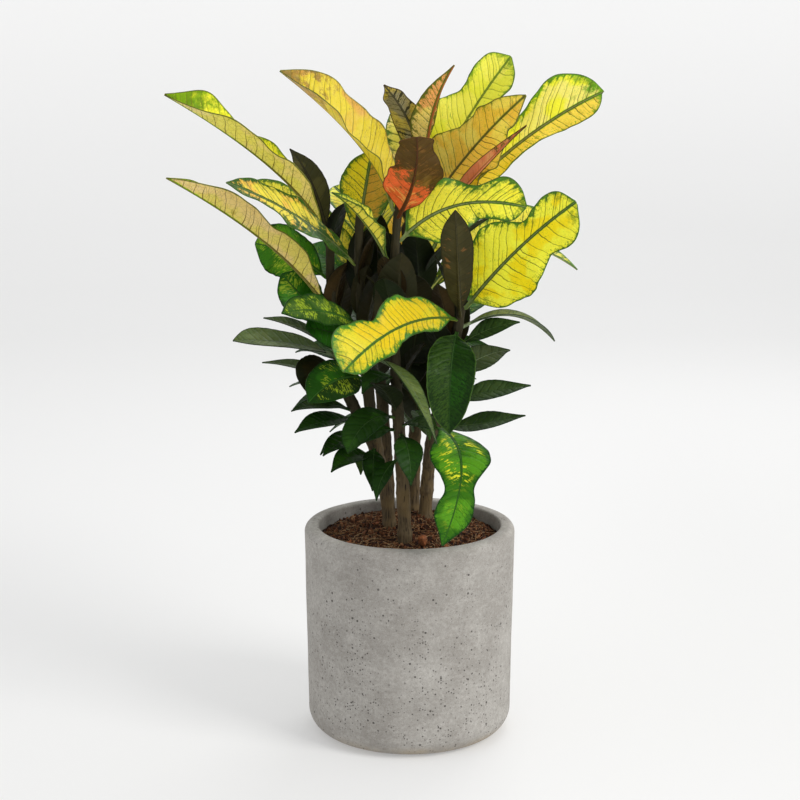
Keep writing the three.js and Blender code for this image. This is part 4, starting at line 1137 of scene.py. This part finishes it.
leaf("leaf_upper_left", "leaf_gold",
     {**GOLD, "Field": "dcc832", "Second": "d8a850", "Patches": 0.02, "Margin": 0.0009, "Speckle": 0.05,
      "Green": "a8842e", "Tip": 0.12, "Blend": 0.3, "Edge": "4c5a1e", "Vein": "6e6a24", "Veins": 0.75},
     "front", 0.556, (-0.127, -0.044, 0.690), 0.066, "strap",
     arch=0.014, crest=0.3, roll=26, fold=38, wave=0.004,
     lobes=((-1, 0.45, 0.40, -0.22), (-1, 0.30, 0.08, 0.10)),
     under={**BACK_LIKE_FACE, "Field": "e0cc3a", "Second": "d9b04c", "Patches": 0.12, "Green": "c29a46",
            "Tip": 0.20, "Blend": 0.3, "Speckle": 0.0, "Margin": 0.0003, "Pitch": 0.0115})
leaf("leaf_back_gold_a", "leaf_gold", GOLD, "back", 0.524, (0.016, 0.150, 0.612), 0.060, "paddle",
     arch=0.008, roll=20, fold=20, wave=0.004)
leaf("leaf_back_gold_b", "leaf_gold", {**GOLD, "Margin": 0.0024},
     "back", 0.496, (-0.032, 0.240, 0.576), 0.060, "spatula", arch=0.018, roll=20, fold=16, wave=0.004)
leaf("leaf_back_gold_c", "leaf_gold", {**GOLD, "Speckle": 0.2},
     "centre", 0.505, (0.104, 0.196, 0.622), 0.062, "paddle", arch=0.012, roll=-30, fold=18, wave=0.004)

# Straw leaves
# Older leaves of the crown turn their pale backs to the front: straw and tan, with a net of
# sparse dark veins, while their upper faces stay lime.

STRAW = {
    "Field": "e0dc20", "Second": "f0ea3c", "Green": "80a408", "Margin": 0.0012, "Speckle": 0.06,
    "Vein": "6a6c22", "Veins": 0.8, "Rib": "8b8a3e", "Edge": "4a4a1c", "Tip": 0.16, "Sheen": 0.12,
}
STRAW_BACK = {
    "Field": "dcd270", "Second": "e2d08c", "Patches": 0.25, "Under": 0.05, "Veins": 0.9, "Net": 0.34,
    "Margin": 0.0003, "Speckle": 0.01, "Tip": 0.0, "Vein": "5e5222", "Rib": "7a763a", "Pitch": 0.0125,
}

leaf("leaf_far_left_upper", "leaf_straw", STRAW,
     "left", 0.529, (-0.238, -0.060, 0.668), 0.052, "strap",
     arch=0.014, crest=0.3, roll=-8, twist=14, fold=48, wave=0.003, curl=34,
     lobes=((1, 0.88, 0.07, 0.22), (1, 0.70, 0.09, -0.20), (1, 0.52, 0.06, 0.12),
            (-1, 0.90, 0.10, -0.12), (-1, 0.50, 0.30, -0.12)),
     under=STRAW_BACK)
leaf("leaf_far_left_lower", "leaf_straw", STRAW,
     "left", 0.450, (-0.232, -0.110, 0.592), 0.048, "strap",
     arch=0.013, crest=0.35, roll=-8, twist=6, fold=48, wave=0.003, lobes=((1, 0.52, 0.07, 0.16),),
     under={**STRAW_BACK, "Field": "dccc72", "Second": "e0c690", "Vein": "62502a"})
leaf("leaf_pink_back", "leaf_straw",
     {**STRAW, "Field": "f6d884", "Second": "efaa78", "Patches": 0.4, "Green": "5c6a2c", "Margin": 0.0022,
      "Speckle": 0.22, "Tip": 0.05, "Rib": "b0553c", "Rib Width": 0.0022, "Edge": "4c4420"},
     "centre", 0.588, (0.044, -0.002, 0.694), 0.036, "lance", heading=285, sway=0.010, fold=22,
     lobes=((-1, 0.50, 0.60, -0.70), (1, 0.40, 0.20, 0.16)), under=BACK_LIKE_FACE)

# Lime leaves
# Yellow-green leaves, speckled dark green along the rib and the margin. Most stand lower in the
# crown than the gold ones, or behind them.

LIME = {
    "Field": "ddd04a", "Second": "e6dc4c", "Green": "47741e", "Margin": 0.0022, "Rib Wash": 0.0012,
    "Speckle": 0.20, "Root": 0.12, "Vein Wash": 0.0003, "Rib": "6f8040", "Edge": "2f4c18",
}

leaf("leaf_mid_left", "leaf_lime",
     {**LIME, "Field": "e2d048", "Second": "e6b850", "Patches": 0.3, "Green": "2f5c14", "Margin": 0.0030,
      "Root": 0.42, "Blend": 0.5, "Slant": -0.22, "Speckle": 0.12, "Sheen": 0.12},
     "inner_left", 0.498, (-0.175, -0.112, 0.588), 0.052, "oblong",
     arch=0.009, crest=0.45, roll=39, fold=6, wave=0.003,
     lobes=((1, 0.72, 0.10, 0.12), (-1, 0.80, 0.10, -0.20)), under=BACK_LIKE_FACE)
leaf("leaf_sliver_front", "leaf_lime", {**LIME, "Field": "dcd05c", "Margin": 0.0014, "Rib Wash": 0.0004},
     "front", 0.500, (-0.075, -0.098, 0.577), 0.034, "lance", arch=0.008, roll=30, fold=40, wave=0.002,
     under={**BACK_LIKE_FACE, "Field": "ecd450", "Second": "e8dc58", "Veins": 1.0, "Speckle": 0.1})
leaf("leaf_upright_left", "leaf_lime",
     {**LIME, "Field": "d8c822", "Second": "cfc62a", "Half": "b48e26", "Half Side": 1.0,
      "Margin": 0.0024, "Rib Wash": 0.0004, "Root": 0.1},
     "inner_left", 0.522, (-0.038, -0.006, 0.610), 0.056, "obovate", arch=-0.004, heading=100, fold=14,
     wave=0.003, under=BACK_LIKE_FACE)
leaf("leaf_pale_back", "leaf_lime",
     {**LIME, "Field": "e4da70", "Second": "e8d08c", "Speckle": 0.06, "Rib Wash": 0.0},
     "centre", 0.566, (-0.020, 0.060, 0.642), 0.036, "oblong", roll=50, fold=10, under=BACK_LIKE_FACE)
leaf("leaf_right_behind", "leaf_lime", {**LIME, "Field": "c8c84a"},
     "centre", 0.456, (0.176, 0.060, 0.480), 0.036, "strap", arch=0.040, roll=-10, fold=16)
leaf("leaf_back_lime_a", "leaf_lime", LIME, "back", 0.468, (-0.184, 0.128, 0.560), 0.048, "strap",
     arch=0.014, roll=30, fold=24, wave=0.003)
leaf("leaf_back_lime_b", "leaf_lime", LIME, "centre", 0.452, (0.160, 0.142, 0.528), 0.050, "strap",
     arch=0.016, roll=-30, fold=22, wave=0.003)

# Amber leaves
# Ripe leaves that have turned amber and ochre, with a dark rib and fine dark lines. The front
# one has a lobed margin.

AMBER = {
    "Field": "fac64a", "Second": "ffdc66", "Patches": 0.35,
    "Green": "8f9a2e", "Margin": 0.0009, "Speckle": 0.03, "Pepper": 0.3,
    "Vein": "5e4e18", "Veins": 0.85, "Pitch": 0.0120, "Net": 0.16, "Root": 0.0,
    "Rib": "5c5a1c", "Rib Width": 0.0014, "Edge": "4c4a18", "Back": "d8b468",
}

leaf("leaf_amber", "leaf_amber", AMBER, "centre", 0.547, (0.112, -0.056, 0.667), 0.070, "ovate",
     arch=0.006, roll=-92, fold=6, wave=0.005,
     lobes=((-1, 0.27, 0.09, 0.26), (-1, 0.50, 0.07, -0.12), (-1, 0.68, 0.06, 0.10),
            (1, 0.22, 0.08, -0.15), (1, 0.42, 0.06, -0.12), (1, 0.60, 0.06, 0.22), (1, 0.78, 0.05, -0.12)))
leaf("leaf_back_amber", "leaf_amber", AMBER, "back", 0.470, (0.032, 0.214, 0.552), 0.054, "oblong",
     arch=0.012, roll=-24, fold=14, wave=0.004)

# Rust leaves
# The oldest leaf of the crown is brown and burns orange-red towards its stalk. Two small ones
# are coral pink and blotched grey.

RUST = {
    "Field": "775c28", "Second": "523c18", "Mottle": 0.5, "Green": "fa7038", "Dapple": 0.5,
    "Root": 0.40, "Slant": 0.16, "Blend": 0.4, "Tip": 0.0, "Margin": 0.0, "Rib Wash": 0.0, "Speckle": 0.0,
    "Pepper": 0.0, "Vein": "34200f", "Veins": 0.5, "Rib": "5a3018", "Edge": "332412",
    "Back": "8a6a4a", "Sheen": 0.14, "Through": 0.3,
}

leaf("leaf_rust", "leaf_rust",
     {**RUST, "Fleck": "eea050", "Flecks": 0.22, "Fleck Scale": 260.0, "Fleck Reach": 0.30, "Through": 0.5},
     "front", 0.548, (0.006, -0.098, 0.630), 0.052, "oblong",
     arch=-0.002, sway=-0.006, heading=285, roll=10, fold=14, wave=0.003,
     lobes=((1, 0.32, 0.10, 0.14), (1, 0.64, 0.08, -0.16), (-1, 0.55, 0.09, 0.14),
            (-1, 0.78, 0.06, -0.10), (1, 0.94, 0.05, 0.30), (-1, 0.94, 0.05, 0.30)),
     under=BACK_LIKE_FACE)
leaf("leaf_pink_small", "leaf_rust",
     {**RUST, "Field": "e8ac7a", "Second": "e08a62", "Green": "56642a", "Dapple": 0.7, "Root": 0.0,
      "Tip": 0.14, "Rib": "c0704a", "Vein": "b0603a", "Through": 0.8},
     "centre", 0.520, (0.111, -0.084, 0.640), 0.022, "lance", arch=0.004, roll=-66, fold=26,
     under=BACK_LIKE_FACE)
leaf("leaf_grey_small", "leaf_rust",
     {**RUST, "Field": "9a9474", "Second": "cdbc5c", "Green": "3a3c2c", "Dapple": 0.7,
      "Vein Wash": 0.0011, "Speckle": 0.16, "Root": 0.0, "Rib": "5c5a3c", "Vein": "34352a",
      "Veins": 0.9, "Pitch": 0.0085},
     "centre", 0.586, (-0.026, 0.008, 0.674), 0.034, "lance", arch=0.009, roll=-40, fold=14,
     lobes=((1, 0.85, 0.08, 0.30), (-1, 0.85, 0.08, 0.20)), under=BACK_LIKE_FACE)

# Dark leaves
# Leaves between the crown and the stems, olive to nearly black, one with tan scars. Their dark
# colours are partly their own and partly painted shade of the bush's inside. Hardly any light
# passes through them.

SHADED_DARK = {
    "Field": "2c2816", "Second": "1c200f", "Green": "161b0d", "Margin": 0.0, "Rib Wash": 0.0,
    "Speckle": 0.0, "Root": 0.0, "Tip": 0.0, "Vein": "1a180c", "Veins": 0.4, "Rib": "38351e",
    "Edge": "1c1a0e", "Back": "36341f", "Net": 0.0, "Sheen": 0.10, "Through": 0.06, "Quilt": 0.0004,
}
SHADED_BROWN = {**SHADED_DARK, "Field": "46361c", "Second": "2e2412", "Rib": "4e4226", "Back": "3f3420"}
SHADED_NIGHT = {**SHADED_DARK, "Field": "1b2412", "Second": "12180b", "Rib": "2a331c", "Back": "26301a"}

leaf("leaf_dark_upright", "leaf_dark",
     {**SHADED_DARK, "Field": "4a4524", "Second": "3b3719", "Rib": "504a2c", "Fleck": "a8703a", "Flecks": 0.03,
      "Fleck Scale": 150.0},
     "right", 0.447, (0.043, -0.104, 0.561), 0.032, "strap", arch=-0.010, heading=270, fold=8)
leaf("leaf_left_shadow", "leaf_dark", {**SHADED_DARK, "Field": "4c4a26", "Second": "38381c"},
     "left", 0.522, (-0.124, 0.060, 0.606), 0.030, "lance", arch=0.012, roll=30, fold=14)
leaf("leaf_left_dark_hang", "leaf_dark", SHADED_DARK, "left", 0.384, (-0.102, -0.058, 0.372), 0.050,
     "obovate", arch=0.010, roll=40, fold=10)

# Spotted leaves
# Young green leaves with yellow-lime flecks in bunches along the veins. The lowest hangs over
# the pot's rim and narrows at its waist.

SPOTTED = {
    "Field": "2f6a16", "Second": "1f4f10", "Green": "173c0e", "Margin": 0.0008, "Rib Wash": 0.0,
    "Speckle": 0.04, "Root": 0.0, "Tip": 0.0, "Fleck": "a0b830", "Flecks": 0.34,
    "Vein": "1c4410", "Veins": 0.4, "Rib": "3f6a2a", "Edge": "1b3a12", "Back": "6f8f50",
    "Sheen": 0.10, "Through": 0.2,
}

leaf("leaf_low_spoon", "leaf_spotted",
     {**SPOTTED, "Field": "56981f", "Second": "387214", "Mottle": 0.6,
      "Fleck": "e4e434", "Flecks": 0.36, "Fleck Scale": 320.0, "Rib": "37601f",
      "Rib Width": 0.0018, "Margin": 0.0012, "Green": "1a4c10", "Speckle": 0.12, "Fleck Reach": 0.62,
      "Fleck Inset": 0.012},
     "right", 0.322, (0.031, -0.138, 0.237), 0.060, "spoon", arch=0.028, sway=-0.022, fold=8, cup=0.1)
leaf("leaf_left_green_high", "leaf_spotted", {**SPOTTED, "Field": "569416", "Second": "3a7a14"},
     "left", 0.482, (-0.159, 0.026, 0.512), 0.054, "obovate", arch=0.006, roll=84, fold=6, wave=0.003,
     under=BACK_LIKE_FACE)
leaf("leaf_left_green_low", "leaf_spotted",
     {**SPOTTED, "Field": "387a16", "Second": "225a10", "Flecks": 0.28, "Fleck": "8ea82c"},
     "left", 0.424, (-0.130, -0.013, 0.486), 0.046, "obovate",
     arch=0.002, roll=36, twist=54, fold=6, wave=0.002, under=BACK_LIKE_FACE)
leaf("leaf_left_spotted", "leaf_spotted", {**SPOTTED, "Field": "46662c", "Second": "33561c", "Flecks": 0.36},
     "inner_left", 0.434, (-0.124, -0.110, 0.462), 0.038, "oblong", arch=0.008, roll=46, fold=8, wave=0.002)
leaf("leaf_left_low", "leaf_spotted",
     {**SPOTTED, "Half": "1f3d14", "Half Side": -1.0, "Flecks": 0.26},
     "inner_left", 0.378, (-0.100, -0.092, 0.370), 0.046, "oblong", arch=0.010, roll=42, fold=10)
leaf("leaf_back_green_a", "leaf_spotted", SPOTTED, "back", 0.430, (-0.118, 0.186, 0.486), 0.050, "obovate",
     arch=0.014, roll=20, fold=14, wave=0.002)
leaf("leaf_back_green_c", "leaf_spotted", SPOTTED, "centre", 0.400, (0.112, 0.150, 0.444), 0.046, "lance",
     arch=0.016, roll=-20, fold=14)

# Green leaves
# Dark green leaves low on the stems, with a paler rib and faint darker veins. Most are narrow
# and stand out nearly level, and the narrow ones on the right are more olive.

GREEN = {
    "Field": "2a5214", "Second": "1c3e0c", "Green": "122b0a", "Margin": 0.0004, "Rib Wash": 0.0,
    "Speckle": 0.06, "Root": 0.0, "Tip": 0.0, "Vein": "12300c", "Veins": 0.5, "Mottle": 0.7,
    "Rib": "3c5a28", "Rib Width": 0.0013, "Edge": "16300e", "Back": "526c36", "Net": 0.0,
    "Sheen": 0.10, "Through": 0.10, "Quilt": 0.0011,
}
OLIVE = {**GREEN, "Field": "3e5630", "Second": "2e4722", "Green": "22361a", "Rib": "4f6638", "Back": "6a7a5c"}

# Its paler olive half is partly the leaf's own tone and partly a painted highlight.
leaf("leaf_big_green", "leaf_green",
     {**GREEN, "Field": "1f4a0e", "Half": "2f4c18", "Half Side": 1.0, "Speckle": 0.40, "Edge": "3c5a20",
      "Rib": "2c4a1a"},
     "right", 0.428, (0.039, -0.086, 0.337), 0.050, "oblong", arch=0.026, roll=8, fold=16, wave=0.002)
leaf("leaf_left_under", "leaf_green", {**GREEN, "Field": "286414", "Second": "1c500e"},
     "inner_left", 0.412, (-0.103, -0.072, 0.441), 0.042, "obovate", arch=0.004, roll=60, fold=8)
for look, node, *row, arch, roll, fold in (
    (GREEN, "leaf_low_left_b", "left", 0.334, (-0.116, -0.054, 0.331), 0.032, "lance", 0.004, 16, 14),
    (GREEN, "leaf_low_left_c", "left", 0.314, (-0.088, -0.050, 0.306), 0.028, "lance", 0.005, 16, 16),
    (GREEN, "leaf_low_left_d", "left", 0.292, (-0.080, -0.046, 0.288), 0.030, "lance", 0.008, 20, 18),
    (GREEN, "leaf_low_front_left", "front", 0.344, (-0.062, -0.082, 0.316), 0.036, "oblong", 0.014, 20, 14),
    (GREEN, "leaf_low_front", "front", 0.326, (0.001, -0.082, 0.283), 0.030, "lance", 0.014, 0, 14),
    (GREEN, "leaf_back_low_a", "back", 0.362, (-0.124, 0.124, 0.380), 0.044, "lance", 0.016, 20, 14),
    (GREEN, "leaf_back_low_b", "back", 0.336, (-0.044, 0.164, 0.340), 0.040, "lance", 0.018, 0, 14),
    (GREEN, "leaf_back_low_c", "centre", 0.330, (0.074, 0.146, 0.346), 0.038, "lance", 0.014, -14, 14),
    (OLIVE, "leaf_right_green_up", "right", 0.414, (0.111, -0.026, 0.439), 0.027, "lance", 0.004, -36, 14),
    (OLIVE, "leaf_right_low_a", "right", 0.350, (0.125, 0.002, 0.368), 0.032, "lance", 0.001, -28, 14),
    (OLIVE, "leaf_right_low_b", "right", 0.320, (0.118, -0.024, 0.342), 0.032, "lance", -0.002, -28, 14),
):
    leaf(node, "leaf_green", look, *row, arch=arch, roll=roll, fold=fold)
leaf("leaf_back_green_b", "leaf_green", GREEN, "back", 0.400, (0.012, 0.196, 0.446), 0.052, "oblong",
     arch=0.016, roll=-10, fold=14, wave=0.002)

# Sage leaves
# Narrow dull leaves, grey-green with a paler rib, that stand out low at the sides and in front.
# Each arches a little along its length.

SAGE = {
    **GREEN, "Field": "5a6e42", "Second": "485c32", "Green": "2c4020", "Vein": "36482a",
    "Rib": "7d8c64", "Edge": "2c3c22", "Back": "75846a",
}

leaf("leaf_left_long_grey", "leaf_sage", {**SAGE, "Field": "7e9266", "Second": "6a8052"},
     "left", 0.402, (-0.178, -0.038, 0.422), 0.036, "strap", arch=0.005, roll=22, fold=16)
leaf("leaf_low_arch", "leaf_sage", {**SAGE, "Field": "697c4a", "Second": "586c3c"},
     "inner_left", 0.400, (0.025, -0.154, 0.343), 0.028, "lance", arch=0.024, roll=24, fold=14)
leaf("leaf_right_curve", "leaf_sage", {**SAGE, "Field": "6f7c3c", "Second": "5c6c34"},
     "right", 0.434, (0.149, 0.004, 0.414), 0.026, "strap", arch=0.019, roll=-4, fold=16)
leaf("leaf_right_grey", "leaf_sage", {**SAGE, "Field": "4c5c3c", "Second": "3c4c30"},
     "right", 0.376, (0.105, 0.034, 0.399), 0.031, "lance", arch=0.006, roll=-40, fold=12)

# Small and shaded leaves
# Leaves that fill the middle of the bush, grown out of the wood. Those of one trunk are joined
# in one piece, in which each keeps its own finishes.

# Each grown leaf is (look, stem, height, tip, width, form, arch, roll, fold).
GROWN = (
    (GOLD, "back", 0.498, (-0.082, 0.150, 0.558), 0.044, "strap", 0.008, 20, 20),
    (LIME, "back", 0.452, (-0.104, 0.158, 0.522), 0.046, "oblong", 0.012, 16, 16),
    (LIME, "centre", 0.478, (0.076, 0.176, 0.552), 0.042, "oblong", 0.010, -20, 16),
    (GREEN, "centre", 0.372, (0.052, 0.172, 0.392), 0.044, "oblong", 0.016, -10, 14),
    (GREEN, "back", 0.386, (-0.082, 0.172, 0.420), 0.044, "oblong", 0.016, 10, 14),
    (GREEN, "left", 0.350, (-0.128, 0.074, 0.352), 0.036, "lance", 0.012, 10, 14),
    (SAGE, "left", 0.406, (-0.147, -0.036, 0.445), 0.026, "lance", 0.005, 20, 16),
    (SAGE, "left", 0.374, (-0.153, 0.018, 0.389), 0.024, "lance", 0.004, 10, 16),
    (GREEN, "left", 0.356, (-0.121, 0.004, 0.342), 0.024, "lance", 0.008, 8, 16),
    (GREEN, "left", 0.296, (-0.052, 0.046, 0.262), 0.026, "lance", 0.008, 10, 12),
    (GREEN, "centre", 0.392, (0.088, 0.050, 0.398), 0.026, "lance", 0.008, -20, 14),
    (GREEN, "front", 0.384, (-0.048, -0.060, 0.372), 0.028, "lance", 0.008, 10, 14),
    (GREEN, "centre", 0.322, (0.044, 0.030, 0.300), 0.026, "lance", 0.008, -10, 14),
    (GREEN, "back", 0.318, (-0.086, 0.084, 0.300), 0.028, "lance", 0.008, 10, 14),
)
# Young leaves low between the stems, which the solid stems leave out.
LOW = (
    (GREEN, "left", 0.310, (-0.092, -0.022, 0.300), 0.022, "lance", 0.010, 16, 14),
    (OLIVE, "left", 0.342, (-0.121, -0.026, 0.347), 0.022, "lance", 0.006, 20, 14),
    (GREEN, "left", 0.302, (-0.038, -0.046, 0.268), 0.024, "lance", 0.008, 10, 14),
    (GREEN, "front", 0.330, (-0.056, -0.058, 0.316), 0.022, "lance", 0.006, 24, 14),
    (OLIVE, "front", 0.334, (0.024, -0.068, 0.336), 0.020, "lance", 0.006, -20, 14),
    (GREEN, "front", 0.300, (-0.034, -0.062, 0.262), 0.020, "lance", 0.008, 10, 14),
    (GREEN, "right", 0.306, (0.006, -0.028, 0.348), 0.024, "oblong", 0.004, 0, 14),
    (OLIVE, "centre", 0.306, (-0.014, 0.014, 0.342), 0.024, "lance", 0.004, 0, 14),
)
# Each shaded leaf is (stem, height, compass, lift, length, width), its angles in degrees.
INNER = (
    ("front", 0.412, 288, 78, 0.104, 0.046), ("front", 0.470, 118, 76, 0.062, 0.028),
    ("front", 0.452, 236, 72, 0.060, 0.034), ("front", 0.424, 250, 66, 0.072, 0.038),
    ("front", 0.372, 20, 56, 0.054, 0.030), ("front", 0.440, 190, 60, 0.056, 0.024),
    ("front", 0.350, 244, 36, 0.062, 0.030),
    ("left", 0.438, 325, 74, 0.062, 0.034),
    ("left", 0.500, 40, 70, 0.060, 0.028), ("left", 0.418, 60, 62, 0.072, 0.032),
    ("inner_left", 0.416, 330, 74, 0.080, 0.034), ("inner_left", 0.376, 10, 62, 0.072, 0.036),
    ("inner_left", 0.468, 345, 74, 0.064, 0.024), ("inner_left", 0.452, 80, 70, 0.080, 0.034),
    ("inner_left", 0.436, 300, 78, 0.062, 0.026), ("inner_left", 0.480, 60, 72, 0.060, 0.030),
    ("right", 0.425, 188, 74, 0.084, 0.028), ("right", 0.400, 238, 70, 0.084, 0.034),
    ("right", 0.384, 226, 60, 0.080, 0.038), ("right", 0.362, 288, 48, 0.076, 0.038),
    ("right", 0.405, 76, 64, 0.064, 0.032),
    ("centre", 0.470, 336, 42, 0.104, 0.042), ("centre", 0.490, 205, 64, 0.072, 0.034),
    ("centre", 0.444, 262, 66, 0.088, 0.040), ("centre", 0.404, 262, 60, 0.090, 0.042),
    ("centre", 0.530, 120, 70, 0.070, 0.030), ("centre", 0.350, 272, 36, 0.070, 0.036),
    ("centre", 0.462, 240, 70, 0.078, 0.034), ("centre", 0.424, 258, -48, 0.084, 0.044),
    ("centre", 0.384, 268, -52, 0.074, 0.038),
    ("back", 0.474, 262, 72, 0.074, 0.034), ("back", 0.440, 250, 66, 0.076, 0.034),
    ("back", 0.410, 290, 66, 0.084, 0.038), ("back", 0.366, 230, 46, 0.066, 0.030),
    ("back", 0.362, 262, 40, 0.070, 0.034),
)
INNER_FORM, INNER_ARCH, INNER_FOLD = "oblong", 0.005, 12
# The shaded leaves' near-black colours hold painted shade as well as their own olive and brown.
INNER_LOOKS = (SHADED_DARK, SHADED_NIGHT, SHADED_BROWN, SHADED_NIGHT, SHADED_DARK)


def inner_tip(stem, at, compass, lift, length):
    """Where a leaf ends that leaves its stem by compass and lift."""
    root = point_on_stem(stem, at)
    level = length * math.cos(math.radians(lift))
    turn = math.radians(compass)
    return (root[0] + level * math.cos(turn), root[1] + level * math.sin(turn),
            root[2] + length * math.sin(math.radians(lift)))


def small_leaves(lines):
    """The blades of one trunk, made with their finishes."""
    blades = []
    for look, stem, at, tip, width, form, arch, roll, fold in GROWN + LOW:
        if stem in lines:
            faces = two_faces("small", look)
            blades.append(shaped_leaf("small", faces, stem, at, tip, width, form, arch=arch, roll=roll,
                                      fold=fold, grown=True, rows=GROWN_ROWS, columns=NARROW_COLUMNS))
    for k, (stem, at, compass, lift, length, width) in enumerate(INNER):
        if stem in lines:
            tip = inner_tip(stem, at, compass, lift, length)
            faces = two_faces("shaded", INNER_LOOKS[k % len(INNER_LOOKS)])
            blades.append(shaped_leaf("small", faces, stem, at, tip, width, INNER_FORM, arch=INNER_ARCH,
                                      fold=INNER_FOLD, grown=True, rows=SMALL_ROWS, columns=SMALL_COLUMNS))
    return blades


for trunk, lines in TRUNKS.items():
    pick(*small_leaves(lines))
    bpy.ops.object.join()
    foliage = bpy.context.object
    foliage.name = trunk + "_small_leaves"
    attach(foliage, "root")
    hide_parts(trunk)

# Floor, light and camera
# A pale floor that runs into a pale backdrop, one large soft lamp high on the right, a weaker
# one behind, an even sky, and the camera at the photograph's height.

FLOOR_SHADE = "c9c9c8"
FLOOR_GLOW = (0.270, 0.440)  # near the floor and high up the backdrop
LAMP_SIDE = 0.065  # how much less the floor glows below the lamp
CAMERA_TARGET = Vector((-0.010, 0.0, 0.353))
CAMERA_AWAY = 2.0
CAMERA_DOWN = math.radians(12)
CAMERA_LENS = 87.2
FLOOR_HALF, FLOOR_FRONT, FLOOR_RUN = 8.0, 4.0, 11.0
BACKDROP_START, BACKDROP_ROUND = 2.2, 1.2
SKY_COLOUR, SKY_GLOW = (0.98, 0.985, 1.0, 1), 0.70
# Each lamp is its name, place, aim, breadth, watts and colour.
LAMPS = (
    ("key", (1.8, -1.25, 1.8), (0, 0, 0.3), 1.1, 38, (1.0, 0.99, 0.97)),
    ("back", (0.6, 1.6, 1.8), (0, 0, 0.5), 1.2, 12, (1.0, 1.0, 1.0)),
)


def make_floor():
    """A sheet that lies flat under the plant and curves up behind it. It glows a little."""
    start_alone()
    bpy.ops.mesh.primitive_grid_add(x_subdivisions=2, y_subdivisions=40, size=2)
    floor = bpy.context.object
    floor.name = "floor"
    for vertex in floor.data.vertices:
        way = (vertex.co.y + 1) / 2 * FLOOR_RUN
        x, y, z = vertex.co.x * FLOOR_HALF, way - FLOOR_FRONT, 0.0
        past = y - BACKDROP_START
        if past > 0:
            turn = min(past / BACKDROP_ROUND, math.pi / 2)
            y = BACKDROP_START + BACKDROP_ROUND * math.sin(turn)
            z = BACKDROP_ROUND * (1 - math.cos(turn)) + max(0.0, past - BACKDROP_ROUND * math.pi / 2)
        vertex.co = (x, y, z)
    bpy.ops.object.shade_smooth()
    material, tree = new_finish("pale floor")
    where = put(tree, "TexCoord").outputs["Object"]
    across, back, height = put(tree, "SeparateXYZ", {0: where}).outputs
    lit = times(tree, rise(tree, across, 0.05, 0.5, 0.0, LAMP_SIDE), rise(tree, back, 2.0, 0.5))
    glow = minus(tree, rise(tree, height, -0.25, 0.9, *FLOOR_GLOW), lit)
    close_finish(tree, put(tree, "BsdfPrincipled", {
        "Base Color": paint(FLOOR_SHADE), "Roughness": 1.0, "Specular IOR Level": 0.0,
        "Emission Color": (1.0, 1.0, 1.0, 1), "Emission Strength": glow,
    }))
    floor.data.materials.append(material)


def add_lamp(name, place, aim, size, power, colour):
    lamp = bpy.data.lights.new(name, "AREA")
    lamp.size = size
    lamp.energy = power
    lamp.color = colour
    holder = bpy.data.objects.new(name, lamp)
    holder.location = place
    holder.rotation_euler = (Vector(aim) - Vector(place)).to_track_quat("-Z", "Y").to_euler()
    bpy.context.scene.collection.objects.link(holder)


def add_camera():
    """It looks down on the plant from the front."""
    ahead = Vector((0, math.cos(CAMERA_DOWN), -math.sin(CAMERA_DOWN)))
    view = bpy.data.cameras.new("camera")
    view.lens = CAMERA_LENS
    view.sensor_width = 36.0
    holder = bpy.data.objects.new("camera", view)
    holder.location = CAMERA_TARGET - ahead * CAMERA_AWAY
    holder.rotation_euler = ahead.to_track_quat("-Z", "Y").to_euler()
    bpy.context.scene.collection.objects.link(holder)
    bpy.context.scene.camera = holder


make_floor()
for lamp_row in LAMPS:
    add_lamp(*lamp_row)
sky = bpy.data.worlds.new("studio")
sky.use_nodes = True
sky.node_tree.nodes["Background"].inputs[0].default_value = SKY_COLOUR
sky.node_tree.nodes["Background"].inputs[1].default_value = SKY_GLOW
bpy.context.scene.world = sky
add_camera()
bpy.context.scene.view_settings.view_transform = "Standard"
